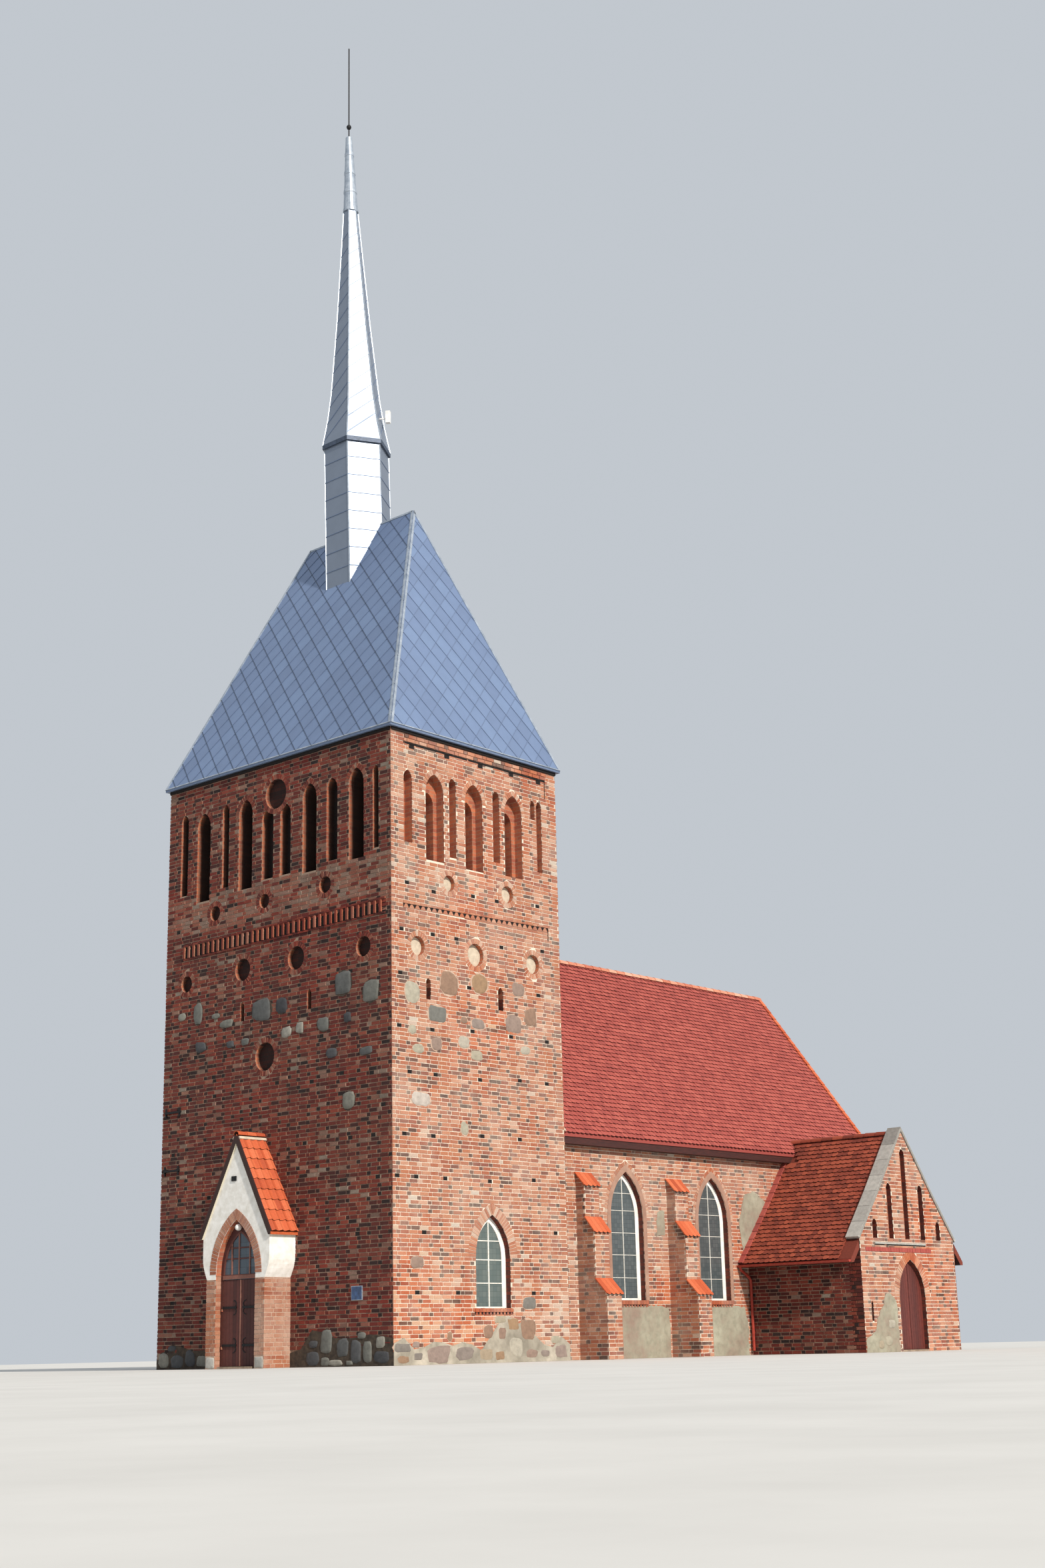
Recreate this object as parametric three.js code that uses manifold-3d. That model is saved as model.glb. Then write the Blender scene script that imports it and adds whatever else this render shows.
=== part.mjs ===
// A village church in brick: an oblong west tower with a hipped metal roof and a hexagonal spire,
// a small pointed porch on its west face, a tiled nave to the east and a gabled chapel on the
// nave's south side. Millimetres, +Z up. The origin is the centre of the tower's footprint at the
// ground, +X is the south side with the chapel and +Y runs east along the nave.
import * as THREE from 'three';
import { ConvexGeometry } from 'three/addons/geometries/ConvexGeometry.js';
import { mergeVertices } from 'three/addons/utils/BufferGeometryUtils.js';
import Module from 'manifold-3d';

const wasm = await Module();
wasm.setup();

// Distance kept between a piece and the neighbour that shapes it
const SEAT = 0.3;
// How far two forms of one piece run into each other
const JOIN = 1;
// How far a cutter reaches past the face that it cuts
const CUT_PAST = 100;
const ARC_STEPS = 5;
const ROUND_SIDES = 16;
const MERGE_DISTANCE = 1e-3;

// Tower
const TOWER_HALF_X = 4360;
const TOWER_HALF_Y = 3140;
const TOWER_TOP = 15500;
const TOWER_WALL = 900;
const TOWER_ROOF_OVERHANG = 115;
const TOWER_ROOF_FASCIA = 60;
const TOWER_RIDGE_HALF = 2125;
const TOWER_RIDGE_Z = 23010;
const TOWER_ROOF_DROP = 450;
const FLOOR_TOP = 120;
const TOWER_WINDOW = { middle: 320, half: 630, sill: 1270, spring: 2500, apex: 3540 };
const PORTAL = { half: 650, spring: 1900, apex: 2800 };
const TOWER_ARCH = { half: 1200, spring: 2400, apex: 4200 };
const PLAQUE = { middle: 3150, half: 185, low: 1510, high: 1840, thick: 30 };

// Openings, niches and roundels of the tower's long faces. Openings, niches and slits are given by
// middle, half width, bottom and top, and the arch of each springs ARCH_SHARE half widths lower
// than its top. Roundels are given by middle, height and radius.
const ARCH_SHARE = 1.5;
const NICHE_DEPTH = 260;
const ROUNDEL_DEPTH = 130;
const LONG_OPENINGS = [
  [-2890, 275, 12150, 14620],
  [-1160, 275, 12210, 14670],
  [1360, 270, 12250, 14620],
  [3110, 275, 12260, 14680],
];
const LONG_NICHES = [
  [-3710, 155, 12430, 14710],
  [-1980, 140, 12360, 14690],
  [-270, 225, 12340, 14280],
  [430, 205, 12340, 14260],
  [2210, 205, 12400, 14600],
  [3815, 105, 12450, 14600],
];
const LONG_ROUNDELS = [
  [40, 14590, 410],
  [-2360, 11740, 205],
  [-375, 11760, 195],
  [1960, 11810, 220],
  [-3500, 9970, 225],
  [-1200, 10050, 300],
  [880, 10070, 310],
  [3360, 10010, 260],
  [-280, 7670, 370],
];
const LONG_SLITS = [
  [-1195, 80, 8660, 9200],
  [1390, 80, 8690, 9210],
];

// The same for the tower's short faces, where three niches hold a narrower and deeper one
const SHORT_DOUBLE_NICHES = [
  [-1580, 330, 12250, 14540],
  [-120, 335, 12230, 14550],
  [1405, 345, 12270, 14530],
];
const SHORT_INNER_HALF = 205;
const SHORT_INNER_LIFT = 50;
const SHORT_INNER_DROP = 430;
const SHORT_NICHES = [
  [-2550, 150, 12560, 14480],
  [-920, 130, 12440, 14560],
  [735, 130, 12580, 14540],
  [2445, 105, 12560, 14560],
  [2190, 90, 14010, 14560],
];
const SHORT_ROUNDELS = [
  [-1085, 11750, 210],
  [1120, 11790, 230],
  [-2230, 9990, 250],
  [-135, 10020, 300],
  [2065, 10050, 260],
];
const SHORT_SLITS = [
  [-1870, 80, 8690, 9230],
  [780, 95, 8690, 9290],
];

// Spire, which leans a little to the north
const SPIRE_X = -60;
const SPIRE_LEAN = 0.0323;
const LEAN_START_Z = 22000;
const SHAFT_RADIUS = 954;
const SHAFT_SKIN = 110;
const SHAFT_FOOT_Z = 20800;
const SPIRE_EAVE_Z = 25620;
const SPIRE_SKIN = 70;
const SPIRE_SIDES = 6;
// Height and radius of the spire's corners, a concave flare
const SPIRE_PROFILE = [
  [SPIRE_EAVE_Z, 1007],
  [26450, 845],
  [27315, 723],
  [29636, 510],
  [32400, 300],
  [33510, 222],
];
const CAP_TOP_Z = 36128;
const CAP_TOP_RADIUS = 100;
const CAP_BAND = 14;
const CAP_BAND_COUNT = 4;
const CAP_BAND_HEIGHT = 90;
const BALL_RADIUS = 75;
const BALL_Z = 36510;
const BALL_STEPS = 6;
const ROD_RADIUS = 20;
const ROD_SIDES = 10;
const ROD_TOP_Z = 39310;
// The small weatherproof box on an arm at the spire's foot
const MAST_BOX = { reach: 1035, half: 65, low: 26365, high: 26735 };
const MAST_ARM = { root: 500, half: 20, z: 26520 };
const MAST_TURN = Math.PI / SPIRE_SIDES;

// Porch on the tower's west face
const PORCH_X = -300;
const PORCH_DEPTH = 850;
const PORCH_FRONT_WALL = 350;
const PORCH_SIDE_WALL = 250;
const PORCH_BRICK_HALF = 1080;
const PORCH_PLASTER_HALF = 1250;
const PORCH_BRICK_TOP = 2130;
const PORCH_FLARE_TOP = 2650;
const PORCH_RIDGE_Z = 5650;
const PORCH_EAVE_Z = 3200;
const PORCH_EAVE_HALF = 1335;
const PORCH_VERGE = 50;
const PORCH_ROOF_THICK = 110;
const PORCH_ROOF_PLUMB = 70;
const PORCH_RECESS = { half: 740, depth: 170, apex: 3560 };
const PORCH_DOOR_HALF = 650;
const PORCH_DOOR_TOP = 2120;
const PORCH_TRANSOM_TOP = 2200;
const PORCH_SPRING = 2250;
const PORCH_ARCH_APEX = 3300;
const TRANSOM_OUT = 20;
const TRANSOM_BACK = 90;
const FANLIGHT_SET_BACK = 10;
const LAMP = { radius: 85, out: 95, z: 3370, stem: 16, stemZ: 3400, stemLength: 100, across: 12, rings: 8 };

// Doors and their hinges
const DOOR_THICK = 60;
const DOOR_GAP = 6;
const SILL_HEIGHT = 50;
const PORCH_HINGES = [520, 1420];
const CHAPEL_HINGES = [420, 1300];
const HINGE_OUT = 20;
const KNUCKLE_RADIUS = 14;
const KNUCKLE_HEIGHT = 60;
const KNUCKLE_SIDES = 12;
const HINGE_ARM_HALF = 8;
const PINTLE_REACH = 40;
const STRAP_INSET = 8;
const STRAP_END = 120;

// Nave
const NAVE_HALF_X = 4000;
const NAVE_WALL = 800;
const NAVE_END_Y = 18460;
const NAVE_RIDGE_Z = 11480;
const NAVE_EAVE_X = 4300;
const NAVE_EAVE_Z = 5750;
const NAVE_ROOF_THICK = 200;
const NAVE_ROOF_PLUMB = 90;
const NAVE_VERGE = 90;
const EAVE_BOARD_HEIGHT = 180;
const EAVE_BOARD_INSET = 25;
const WINDOW = { half: 690, sill: 1500, spring: 3700, apex: 4890 };
const WINDOW_FRAME = 150;
const WINDOW_REVEAL = 165;
const SILL_LIP = 60;
const PANE_THICK = 40;
const SOUTH_WINDOWS = [6080, 9960];
const NORTH_WINDOWS = [6080, 9960, 13840];
const BUTTRESS_HALF = 285;
const BUTTRESS_ROOT = 10;
const SOUTH_BUTTRESSES = [4260, 8140];
const NORTH_BUTTRESSES = [4260, 8140, 12020, 15900];
// How far each step of a buttress stands out, the top of its sloped cap and the cap's foot
const BUTTRESS_STEPS = [
  [300, 4770, 4410],
  [600, 3600, 3200],
  [960, 2020, 1620],
];
const EAST_NICHE_DEPTH = 150;
const EAST_NICHES = [
  [-1900, 170, 6500, 8000],
  [-950, 170, 6500, 9200],
  [0, 170, 6500, 10200],
  [950, 170, 6500, 9200],
  [1900, 170, 6500, 8000],
];

// Chapel
const CHAPEL_FACE_X = 7800;
const CHAPEL_MID_Y = 14100;
const CHAPEL_HALF_Y = 2520;
const CHAPEL_WALL = 500;
const CHAPEL_GABLE_THICK = 400;
const CHAPEL_RIDGE_Z = 6100;
const CHAPEL_KINK_OUT = 1450;
const CHAPEL_KINK_Z = 4290;
const CHAPEL_EAVE_OUT = 3000;
const CHAPEL_EAVE_Z = 2500;
const CHAPEL_ROOF_THICK = 150;
const CHAPEL_ROOF_PLUMB = 90;
const GABLE_RISE = 65;
const KNEELER_Z = 3100;
const COPING_THICK = 70;
const COPING_OUT = 40;
const COPING_CLEAR = 5;
const CHAPEL_DOOR_Y = 14160;
const CHAPEL_DOOR_HALF = 725;
const CHAPEL_DOOR_SPRING = 1500;
const CHAPEL_DOOR_APEX = 2550;
const CHAPEL_DOOR_RECESS = 130;
const CHAPEL_REBATE = 30;
const CHAPEL_SWING_ROOM = 60;
const CHAPEL_DOORWAY = { half: 550, spring: 1700, apex: 2500 };
const CHAPEL_NICHE_DEPTH = 140;
const CHAPEL_NICHES = [
  [CHAPEL_MID_Y - 1700, 120, 3080, 3640],
  [CHAPEL_MID_Y - 850, 130, 3080, 4650],
  [CHAPEL_MID_Y, 130, 3080, 5650],
  [CHAPEL_MID_Y + 850, 130, 3080, 4650],
  [CHAPEL_MID_Y + 1700, 120, 3080, 3640],
];
const CHAPEL_SLIT = [12020, 50, 840, 1390];
const CHAPEL_SLIT_DEPTH = 260;
const GUTTER = { radius: 65, hollow: 0.85, below: 20, steps: 8, closedNear: 10, closedFar: 8, open: 10 };
const PIPE = { x: 4100, radius: 42, off: 75, foot: 120, sides: 8, steps: 24, root: 12, drop: 60, bend: 340 };
const PIPE_TENSION = 0.1;
const PIPE_HOLDERS = [600, 1700];
const PIPE_HOLDER = { half: 20, height: 40 };

// Finishes
const SUNLIT_BRICK = { color: 0xa5563c, roughness: 0.93, metalness: 0 };
const SHADED_BRICK = { color: 0x7c3b2b, roughness: 0.95, metalness: 0 };
const METAL_SHEET = { color: 0x8d98a3, roughness: 0.45, metalness: 0.7 };
const DARK_METAL = { color: 0x3b3d40, roughness: 0.5, metalness: 0.6 };
const RED_TILE = { color: 0xb3483a, roughness: 0.85, metalness: 0 };
const ORANGE_TILE = { color: 0xcf5a2f, roughness: 0.85, metalness: 0 };
const PLASTER = { color: 0xe6e3dc, roughness: 0.9, metalness: 0 };
const OLD_WOOD = { color: 0x5b2c22, roughness: 0.7, metalness: 0 };
const DOOR_RED = { color: 0x8a3a2c, roughness: 0.65, metalness: 0 };
const PANE = { color: 0x6d7e88, roughness: 0.15, metalness: 0 };
const STONE = { color: 0x9a958c, roughness: 0.95, metalness: 0 };
const PAVING = { color: 0x9b8b7a, roughness: 0.95, metalness: 0 };
const RED_PAINT = { color: 0xb5402e, roughness: 0.5, metalness: 0 };
const WHITE_COVER = { color: 0xf2f0ea, roughness: 0.3, metalness: 0 };

const group = new THREE.Group();

// Turns a closed geometry into a solid that can be joined and cut
function solid(geometry) {
  const bare = geometry.clone();
  bare.deleteAttribute('normal');
  bare.deleteAttribute('uv');
  const merged = mergeVertices(bare, MERGE_DISTANCE);
  const mesh = new wasm.Mesh({
    numProp: 3,
    vertProperties: new Float32Array(merged.attributes.position.array),
    triVerts: new Uint32Array(merged.index.array),
  });
  return new wasm.Manifold(mesh);
}

// Turns a solid back into a geometry
function geometryOf(shape) {
  const mesh = shape.getMesh();
  const geometry = new THREE.BufferGeometry();
  geometry.setAttribute('position', new THREE.BufferAttribute(new Float32Array(mesh.vertProperties), 3));
  geometry.setIndex(new THREE.BufferAttribute(new Uint32Array(mesh.triVerts), 1));
  geometry.computeVertexNormals();
  return geometry;
}

// Adds one named piece to the building
function piece(name, shape, finish) {
  const mesh = new THREE.Mesh(geometryOf(shape), new THREE.MeshStandardMaterial(finish));
  mesh.name = name;
  group.add(mesh);
}

// A box between two corners, whose bounds may come in either order
function box(xa, xb, ya, yb, za, zb) {
  const geometry = new THREE.BoxGeometry(Math.abs(xb - xa), Math.abs(yb - ya), Math.abs(zb - za));
  geometry.translate((xa + xb) / 2, (ya + yb) / 2, (za + zb) / 2);
  return solid(geometry);
}

// Frames that turn an outline, drawn in two of the axes, along the third
const ALONG_X = new THREE.Matrix4().makeBasis(
  new THREE.Vector3(0, 1, 0),
  new THREE.Vector3(0, 0, 1),
  new THREE.Vector3(1, 0, 0),
);
const ALONG_Y = new THREE.Matrix4().makeBasis(
  new THREE.Vector3(1, 0, 0),
  new THREE.Vector3(0, 0, 1),
  new THREE.Vector3(0, -1, 0),
);

function extruded(outline, depth) {
  const shape = new THREE.Shape(outline.map(([u, v]) => new THREE.Vector2(u, v)));
  return new THREE.ExtrudeGeometry(shape, { depth, bevelEnabled: false });
}

// An outline of [y, z] points drawn out along X, between bounds in either order
function prismX(outline, xa, xb) {
  const geometry = extruded(outline, Math.abs(xb - xa));
  geometry.applyMatrix4(ALONG_X);
  geometry.translate(Math.min(xa, xb), 0, 0);
  return solid(geometry);
}

// An outline of [x, z] points drawn out along Y
function prismY(outline, ya, yb) {
  const geometry = extruded(outline, Math.abs(yb - ya));
  geometry.applyMatrix4(ALONG_Y);
  geometry.translate(0, Math.max(ya, yb), 0);
  return solid(geometry);
}

// An outline of [x, y] points drawn out along Z
function prismZ(outline, za, zb) {
  const geometry = extruded(outline, zb - za);
  geometry.translate(0, 0, za);
  return solid(geometry);
}

// A pointed arch over straight jambs, as an outline about its middle
function pointedArch(middle, half, base, spring, apex) {
  const rise = apex - spring;
  const radius = (half * half + rise * rise) / (2 * half);
  const sweep = Math.asin(rise / radius);
  const points = [[middle - half, base], [middle + half, base]];
  const bow = (step) => {
    const angle = (sweep * step) / ARC_STEPS;
    return [half - radius * (1 - Math.cos(angle)), spring + radius * Math.sin(angle)];
  };
  for (let i = 0; i < ARC_STEPS; i += 1) {
    const [out, z] = bow(i);
    points.push([middle + out, z]);
  }
  points.push([middle, apex]);
  for (let i = ARC_STEPS - 1; i >= 0; i -= 1) {
    const [out, z] = bow(i);
    points.push([middle - out, z]);
  }
  return points;
}

// The pointed arch of a niche or slit that is given by middle, half width, bottom and top
function nicheArch([middle, half, bottom, top]) {
  return pointedArch(middle, half, bottom, top - ARCH_SHARE * half, top);
}

// A doorway that starts below the floor, so that it cuts right through to the ground
function doorArch(middle, { half, spring, apex }) {
  return pointedArch(middle, half, -CUT_PAST, spring, apex);
}

// The outer edge of a glazed window, and the edge of its glazing, inset a little if need be
function windowEdge(middle, { half, sill, spring, apex }) {
  return pointedArch(middle, half, sill, spring, apex);
}

function glazingEdge(middle, { half, sill, spring, apex }, inset) {
  const side = WINDOW_FRAME + inset;
  return pointedArch(middle, half - side, sill + SILL_LIP + inset, spring, apex - side);
}

function roundel([middle, height, radius]) {
  const points = [];
  for (let i = 0; i < ROUND_SIDES; i += 1) {
    const angle = (2 * Math.PI * (i + 0.5)) / ROUND_SIDES;
    points.push([middle + radius * Math.cos(angle), height + radius * Math.sin(angle)]);
  }
  return points;
}

function addAll(shape, others) {
  return others.reduce((whole, other) => whole.add(other), shape);
}

function cutAll(shape, cutters) {
  return cutters.reduce((left, cutter) => left.subtract(cutter), shape);
}

// Cutters that reach a depth into a face whose normal is Y or X
function cutY(side, face, outline, depth) {
  return prismY(outline, side * (face - depth), side * (face + CUT_PAST));
}

function cutX(side, face, outline, depth) {
  return prismX(outline, side * (face - depth), side * (face + CUT_PAST));
}

// An outline of [out, z] points put on one side of a middle
function mirrored(outline, middle, side) {
  return outline.map(([out, z]) => [middle + side * out, z]);
}

// A whole outline from the half on one side, which runs from its foot up to the middle
function bothSides(half, middle) {
  const left = half.filter(([out]) => out > 0).reverse();
  return [...mirrored(half, middle, 1), ...mirrored(left, middle, -1)].filter(
    (point, i, all) => i === 0 || point[0] !== all[i - 1][0] || point[1] !== all[i - 1][1],
  );
}

// Half of a roof slab: the slope's [out, z] points, its plumb-cut foot and its underside
function halfRoof(ridgeZ, slope, drop, plumb) {
  const [eaveOut, eaveZ] = slope[slope.length - 1];
  const [lastOut, lastZ] = slope.length > 1 ? slope[slope.length - 2] : [0, ridgeZ];
  const pitch = (lastZ - eaveZ) / (eaveOut - lastOut);
  const footOut = lastOut + (lastZ - drop - (eaveZ - plumb)) / pitch;
  const under = slope.slice(0, -1).reverse().map(([out, z]) => [out, z - drop]);
  return [
    [0, ridgeZ],
    ...slope,
    [eaveOut, eaveZ - plumb],
    [footOut, eaveZ - plumb],
    ...under,
    [0, ridgeZ - drop],
  ];
}

// A tower wall as seen from above: u runs along its face, and its mitred ends meet the next walls
function towerWallOutline(halfLength, outer) {
  const inner = outer - TOWER_WALL;
  return [
    [-halfLength + SEAT, outer],
    [halfLength - SEAT, outer],
    [halfLength - TOWER_WALL - SEAT, inner],
    [-halfLength + TOWER_WALL + SEAT, inner],
  ];
}

function towerLongWall(side) {
  const outline = towerWallOutline(TOWER_HALF_X, TOWER_HALF_Y).map(([u, out]) => [u, side * out]);
  return cutAll(prismZ(outline, 0, TOWER_TOP), [
    ...LONG_OPENINGS.map((hole) => cutY(side, TOWER_HALF_Y, nicheArch(hole), TOWER_WALL + CUT_PAST)),
    ...LONG_NICHES.map((niche) => cutY(side, TOWER_HALF_Y, nicheArch(niche), NICHE_DEPTH)),
  ]);
}

function towerWestWall() {
  const portal = doorArch(PORCH_X, PORTAL);
  return cutAll(towerLongWall(-1), [
    ...LONG_SLITS.map((slit) => cutY(-1, TOWER_HALF_Y, nicheArch(slit), TOWER_WALL + CUT_PAST)),
    ...LONG_ROUNDELS.map((round) => cutY(-1, TOWER_HALF_Y, roundel(round), ROUNDEL_DEPTH)),
    cutY(-1, TOWER_HALF_Y, portal, TOWER_WALL + CUT_PAST),
  ]);
}

function towerEastWall() {
  const arch = doorArch(0, TOWER_ARCH);
  return towerLongWall(1).subtract(cutY(1, TOWER_HALF_Y, arch, TOWER_WALL + CUT_PAST));
}

function towerSideWall(side) {
  const outline = towerWallOutline(TOWER_HALF_Y, TOWER_HALF_X).map(([u, out]) => [side * out, u]);
  const inner = SHORT_DOUBLE_NICHES.map(([u, , bottom, top]) => (
    [u, SHORT_INNER_HALF, bottom + SHORT_INNER_LIFT, top - SHORT_INNER_DROP]
  ));
  const cut = (edge, depth) => cutX(side, TOWER_HALF_X, edge, depth);
  return cutAll(prismZ(outline, 0, TOWER_TOP), [
    ...SHORT_DOUBLE_NICHES.map((niche) => cut(nicheArch(niche), NICHE_DEPTH)),
    ...inner.map((niche) => cut(nicheArch(niche), 2 * NICHE_DEPTH)),
    ...SHORT_NICHES.map((niche) => cut(nicheArch(niche), NICHE_DEPTH)),
    ...SHORT_ROUNDELS.map((round) => cut(roundel(round), ROUNDEL_DEPTH)),
    ...SHORT_SLITS.map((slit) => cut(nicheArch(slit), TOWER_WALL + CUT_PAST)),
    cut(windowEdge(TOWER_WINDOW.middle, TOWER_WINDOW), WINDOW_REVEAL),
    cut(glazingEdge(TOWER_WINDOW.middle, TOWER_WINDOW, 0), TOWER_WALL + CUT_PAST),
  ]);
}

function towerFloor() {
  const hallX = TOWER_HALF_X - TOWER_WALL;
  const hallY = TOWER_HALF_Y - TOWER_WALL;
  const hall = box(-hallX, hallX, -hallY, hallY, 0, FLOOR_TOP);
  const { half } = PORTAL;
  return hall.add(box(PORCH_X - half, PORCH_X + half, -TOWER_HALF_Y, JOIN - hallY, 0, FLOOR_TOP));
}

// The body under the tower roof's four slopes, from a foot up to an eave and a ridge
function hippedForm(footZ, eaveZ, ridgeZ) {
  const halfX = TOWER_HALF_X + TOWER_ROOF_OVERHANG;
  const halfY = TOWER_HALF_Y + TOWER_ROOF_OVERHANG;
  const points = [];
  for (const sideX of [-1, 1]) {
    for (const sideY of [-1, 1]) {
      points.push(new THREE.Vector3(sideX * halfX, sideY * halfY, footZ));
      points.push(new THREE.Vector3(sideX * halfX, sideY * halfY, eaveZ));
    }
    points.push(new THREE.Vector3(sideX * TOWER_RIDGE_HALF, 0, ridgeZ));
  }
  return solid(new ConvexGeometry(points));
}

const towerEaveZ = TOWER_TOP + TOWER_ROOF_FASCIA;

function towerRoof() {
  const outer = hippedForm(TOWER_TOP, towerEaveZ, TOWER_RIDGE_Z);
  const innerEave = towerEaveZ - TOWER_ROOF_DROP;
  return outer.subtract(hippedForm(innerEave - JOIN, innerEave, TOWER_RIDGE_Z - TOWER_ROOF_DROP));
}

// The spire's axis at a height, with its lean
function leanAt(z) {
  return SPIRE_X - SPIRE_LEAN * Math.max(0, z - LEAN_START_Z);
}

// A closed skin through rings of [z, radius] on the leaning axis, with flat ends
function ringed(profile, sides) {
  const positions = [];
  const index = [];
  for (const [z, radius] of profile) {
    for (let i = 0; i < sides; i += 1) {
      const angle = (2 * Math.PI * i) / sides;
      positions.push(leanAt(z) + radius * Math.cos(angle), radius * Math.sin(angle), z);
    }
  }
  const last = (profile.length - 1) * sides;
  for (let ring = 0; ring < profile.length - 1; ring += 1) {
    for (let i = 0; i < sides; i += 1) {
      const a = ring * sides + i;
      const b = ring * sides + ((i + 1) % sides);
      index.push(a, b, b + sides, a, b + sides, a + sides);
    }
  }
  for (let i = 1; i < sides - 1; i += 1) {
    index.push(0, i + 1, i);
    index.push(last, last + i, last + i + 1);
  }
  const geometry = new THREE.BufferGeometry();
  geometry.setAttribute('position', new THREE.Float32BufferAttribute(positions, 3));
  geometry.setIndex(index);
  return solid(geometry);
}

// The hexagonal shaft, cut at its foot by the roof that it stands on
function spireShaft() {
  const tube = (radius, past) => ringed([
    [SHAFT_FOOT_Z - past, radius],
    [LEAN_START_Z, radius],
    [SPIRE_EAVE_Z - SEAT + past, radius],
  ], SPIRE_SIDES);
  return cutAll(tube(SHAFT_RADIUS, 0), [
    tube(SHAFT_RADIUS - SHAFT_SKIN, CUT_PAST),
    hippedForm(TOWER_TOP, towerEaveZ + SEAT, TOWER_RIDGE_Z + SEAT),
  ]);
}

function spireRoof() {
  const foot = SHAFT_RADIUS - SHAFT_SKIN;
  const hollow = [
    [SPIRE_EAVE_Z - CUT_PAST, foot],
    [SPIRE_EAVE_Z + CUT_PAST, foot],
    ...SPIRE_PROFILE.slice(1, -1).map(([z, radius]) => [z, radius - SPIRE_SKIN]),
  ];
  return ringed(SPIRE_PROFILE, SPIRE_SIDES).subtract(ringed(hollow, SPIRE_SIDES));
}

// The round cap, whose sheets overlap in bands
function spireCap() {
  const [spireTop, footRadius] = SPIRE_PROFILE[SPIRE_PROFILE.length - 1];
  const foot = spireTop + SEAT;
  const sheet = (CAP_TOP_Z - foot) / CAP_BAND_COUNT;
  const radiusAt = (z) => footRadius + ((CAP_TOP_RADIUS - footRadius) * (z - foot)) / (CAP_TOP_Z - foot);
  const profile = [];
  for (let i = 0; i < CAP_BAND_COUNT; i += 1) {
    const low = foot + sheet * i;
    const bandTop = low + CAP_BAND_HEIGHT;
    profile.push([low, radiusAt(low) + CAP_BAND]);
    profile.push([bandTop, radiusAt(bandTop) + CAP_BAND]);
    profile.push([bandTop + CAP_BAND, radiusAt(bandTop + CAP_BAND)]);
    profile.push([low + sheet - CAP_BAND, radiusAt(low + sheet - CAP_BAND)]);
  }
  profile.push([CAP_TOP_Z, CAP_TOP_RADIUS]);
  return ringed(profile, ROUND_SIDES);
}

// The rod with its ball
function spireFinial() {
  const foot = CAP_TOP_Z + SEAT;
  const outline = [[0, foot], [ROD_RADIUS, foot], [ROD_RADIUS, BALL_Z - BALL_RADIUS]];
  for (let i = 1; i < BALL_STEPS; i += 1) {
    const angle = -Math.PI / 2 + (Math.PI * i) / BALL_STEPS;
    const out = (BALL_RADIUS - ROD_RADIUS) * Math.cos(angle);
    outline.push([ROD_RADIUS + out, BALL_Z + BALL_RADIUS * Math.sin(angle)]);
  }
  outline.push([ROD_RADIUS, BALL_Z + BALL_RADIUS]);
  outline.push([ROD_RADIUS, ROD_TOP_Z - ROD_RADIUS]);
  outline.push([0, ROD_TOP_Z]);
  const lathe = new THREE.LatheGeometry(outline.map(([r, z]) => new THREE.Vector2(r, z)), ROD_SIDES);
  lathe.rotateX(Math.PI / 2);
  lathe.translate(leanAt(CAP_TOP_Z), 0, 0);
  return solid(lathe);
}

function turnedOnSpire(xa, xb, half, za, zb) {
  const geometry = new THREE.BoxGeometry(xb - xa, 2 * half, zb - za);
  geometry.translate((xa + xb) / 2, 0, (za + zb) / 2);
  geometry.rotateZ(MAST_TURN);
  geometry.translate(leanAt(MAST_BOX.low), 0, 0);
  return solid(geometry);
}

function mastBox() {
  const { reach, half, low, high } = MAST_BOX;
  const head = turnedOnSpire(reach - 2 * half, reach, half, low, high);
  const arm = turnedOnSpire(
    MAST_ARM.root,
    reach - half,
    MAST_ARM.half,
    MAST_ARM.z - MAST_ARM.half,
    MAST_ARM.z + MAST_ARM.half,
  );
  const grown = SPIRE_PROFILE.map(([z, radius]) => [z, radius + 2 * SEAT]);
  return head.add(arm).subtract(ringed(grown, SPIRE_SIDES));
}

function wallPlaque() {
  const { middle, half, low, high, thick } = PLAQUE;
  return box(middle - half, middle + half, -TOWER_HALF_Y - thick, -TOWER_HALF_Y, low, high);
}

// A sheet of glazing behind a face whose normal is X
function paneX(side, face, outline) {
  const outer = face - WINDOW_REVEAL;
  return prismX(outline, side * outer, side * (outer - PANE_THICK));
}

// Porch: a plastered gable on brick piers, with a pointed doorway under a fanlight
const porchFrontY = -TOWER_HALF_Y - PORCH_DEPTH;
const porchInnerY = porchFrontY + PORCH_FRONT_WALL;
const porchDoorY = porchFrontY + PORCH_RECESS.depth;
const porchHingeY = porchDoorY - HINGE_OUT;
const porchPitch = (PORCH_RIDGE_Z - PORCH_EAVE_Z) / PORCH_EAVE_HALF;
const porchDrop = PORCH_ROOF_THICK * Math.hypot(1, porchPitch);
const porchWallTop = PORCH_RIDGE_Z - porchDrop - porchPitch * PORCH_PLASTER_HALF - SEAT;
const porchInnerHalf = PORCH_BRICK_HALF - PORCH_SIDE_WALL;

// The porch's side steps out in a curve where brick turns to plaster
function porchSide() {
  const points = [[PORCH_BRICK_HALF, 0], [PORCH_BRICK_HALF, PORCH_BRICK_TOP]];
  for (let i = 1; i <= ARC_STEPS; i += 1) {
    const share = i / ARC_STEPS;
    const out = (PORCH_PLASTER_HALF - PORCH_BRICK_HALF) * Math.sin((Math.PI / 2) * share);
    points.push([PORCH_BRICK_HALF + out, PORCH_BRICK_TOP + (PORCH_FLARE_TOP - PORCH_BRICK_TOP) * share]);
  }
  points.push([PORCH_PLASTER_HALF, porchWallTop]);
  return points;
}

function upright(radius, x, y, z0, z1) {
  const geometry = new THREE.CylinderGeometry(radius, radius, z1 - z0, KNUCKLE_SIDES);
  geometry.rotateX(Math.PI / 2);
  geometry.translate(x, y, (z0 + z1) / 2);
  return solid(geometry);
}

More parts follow.
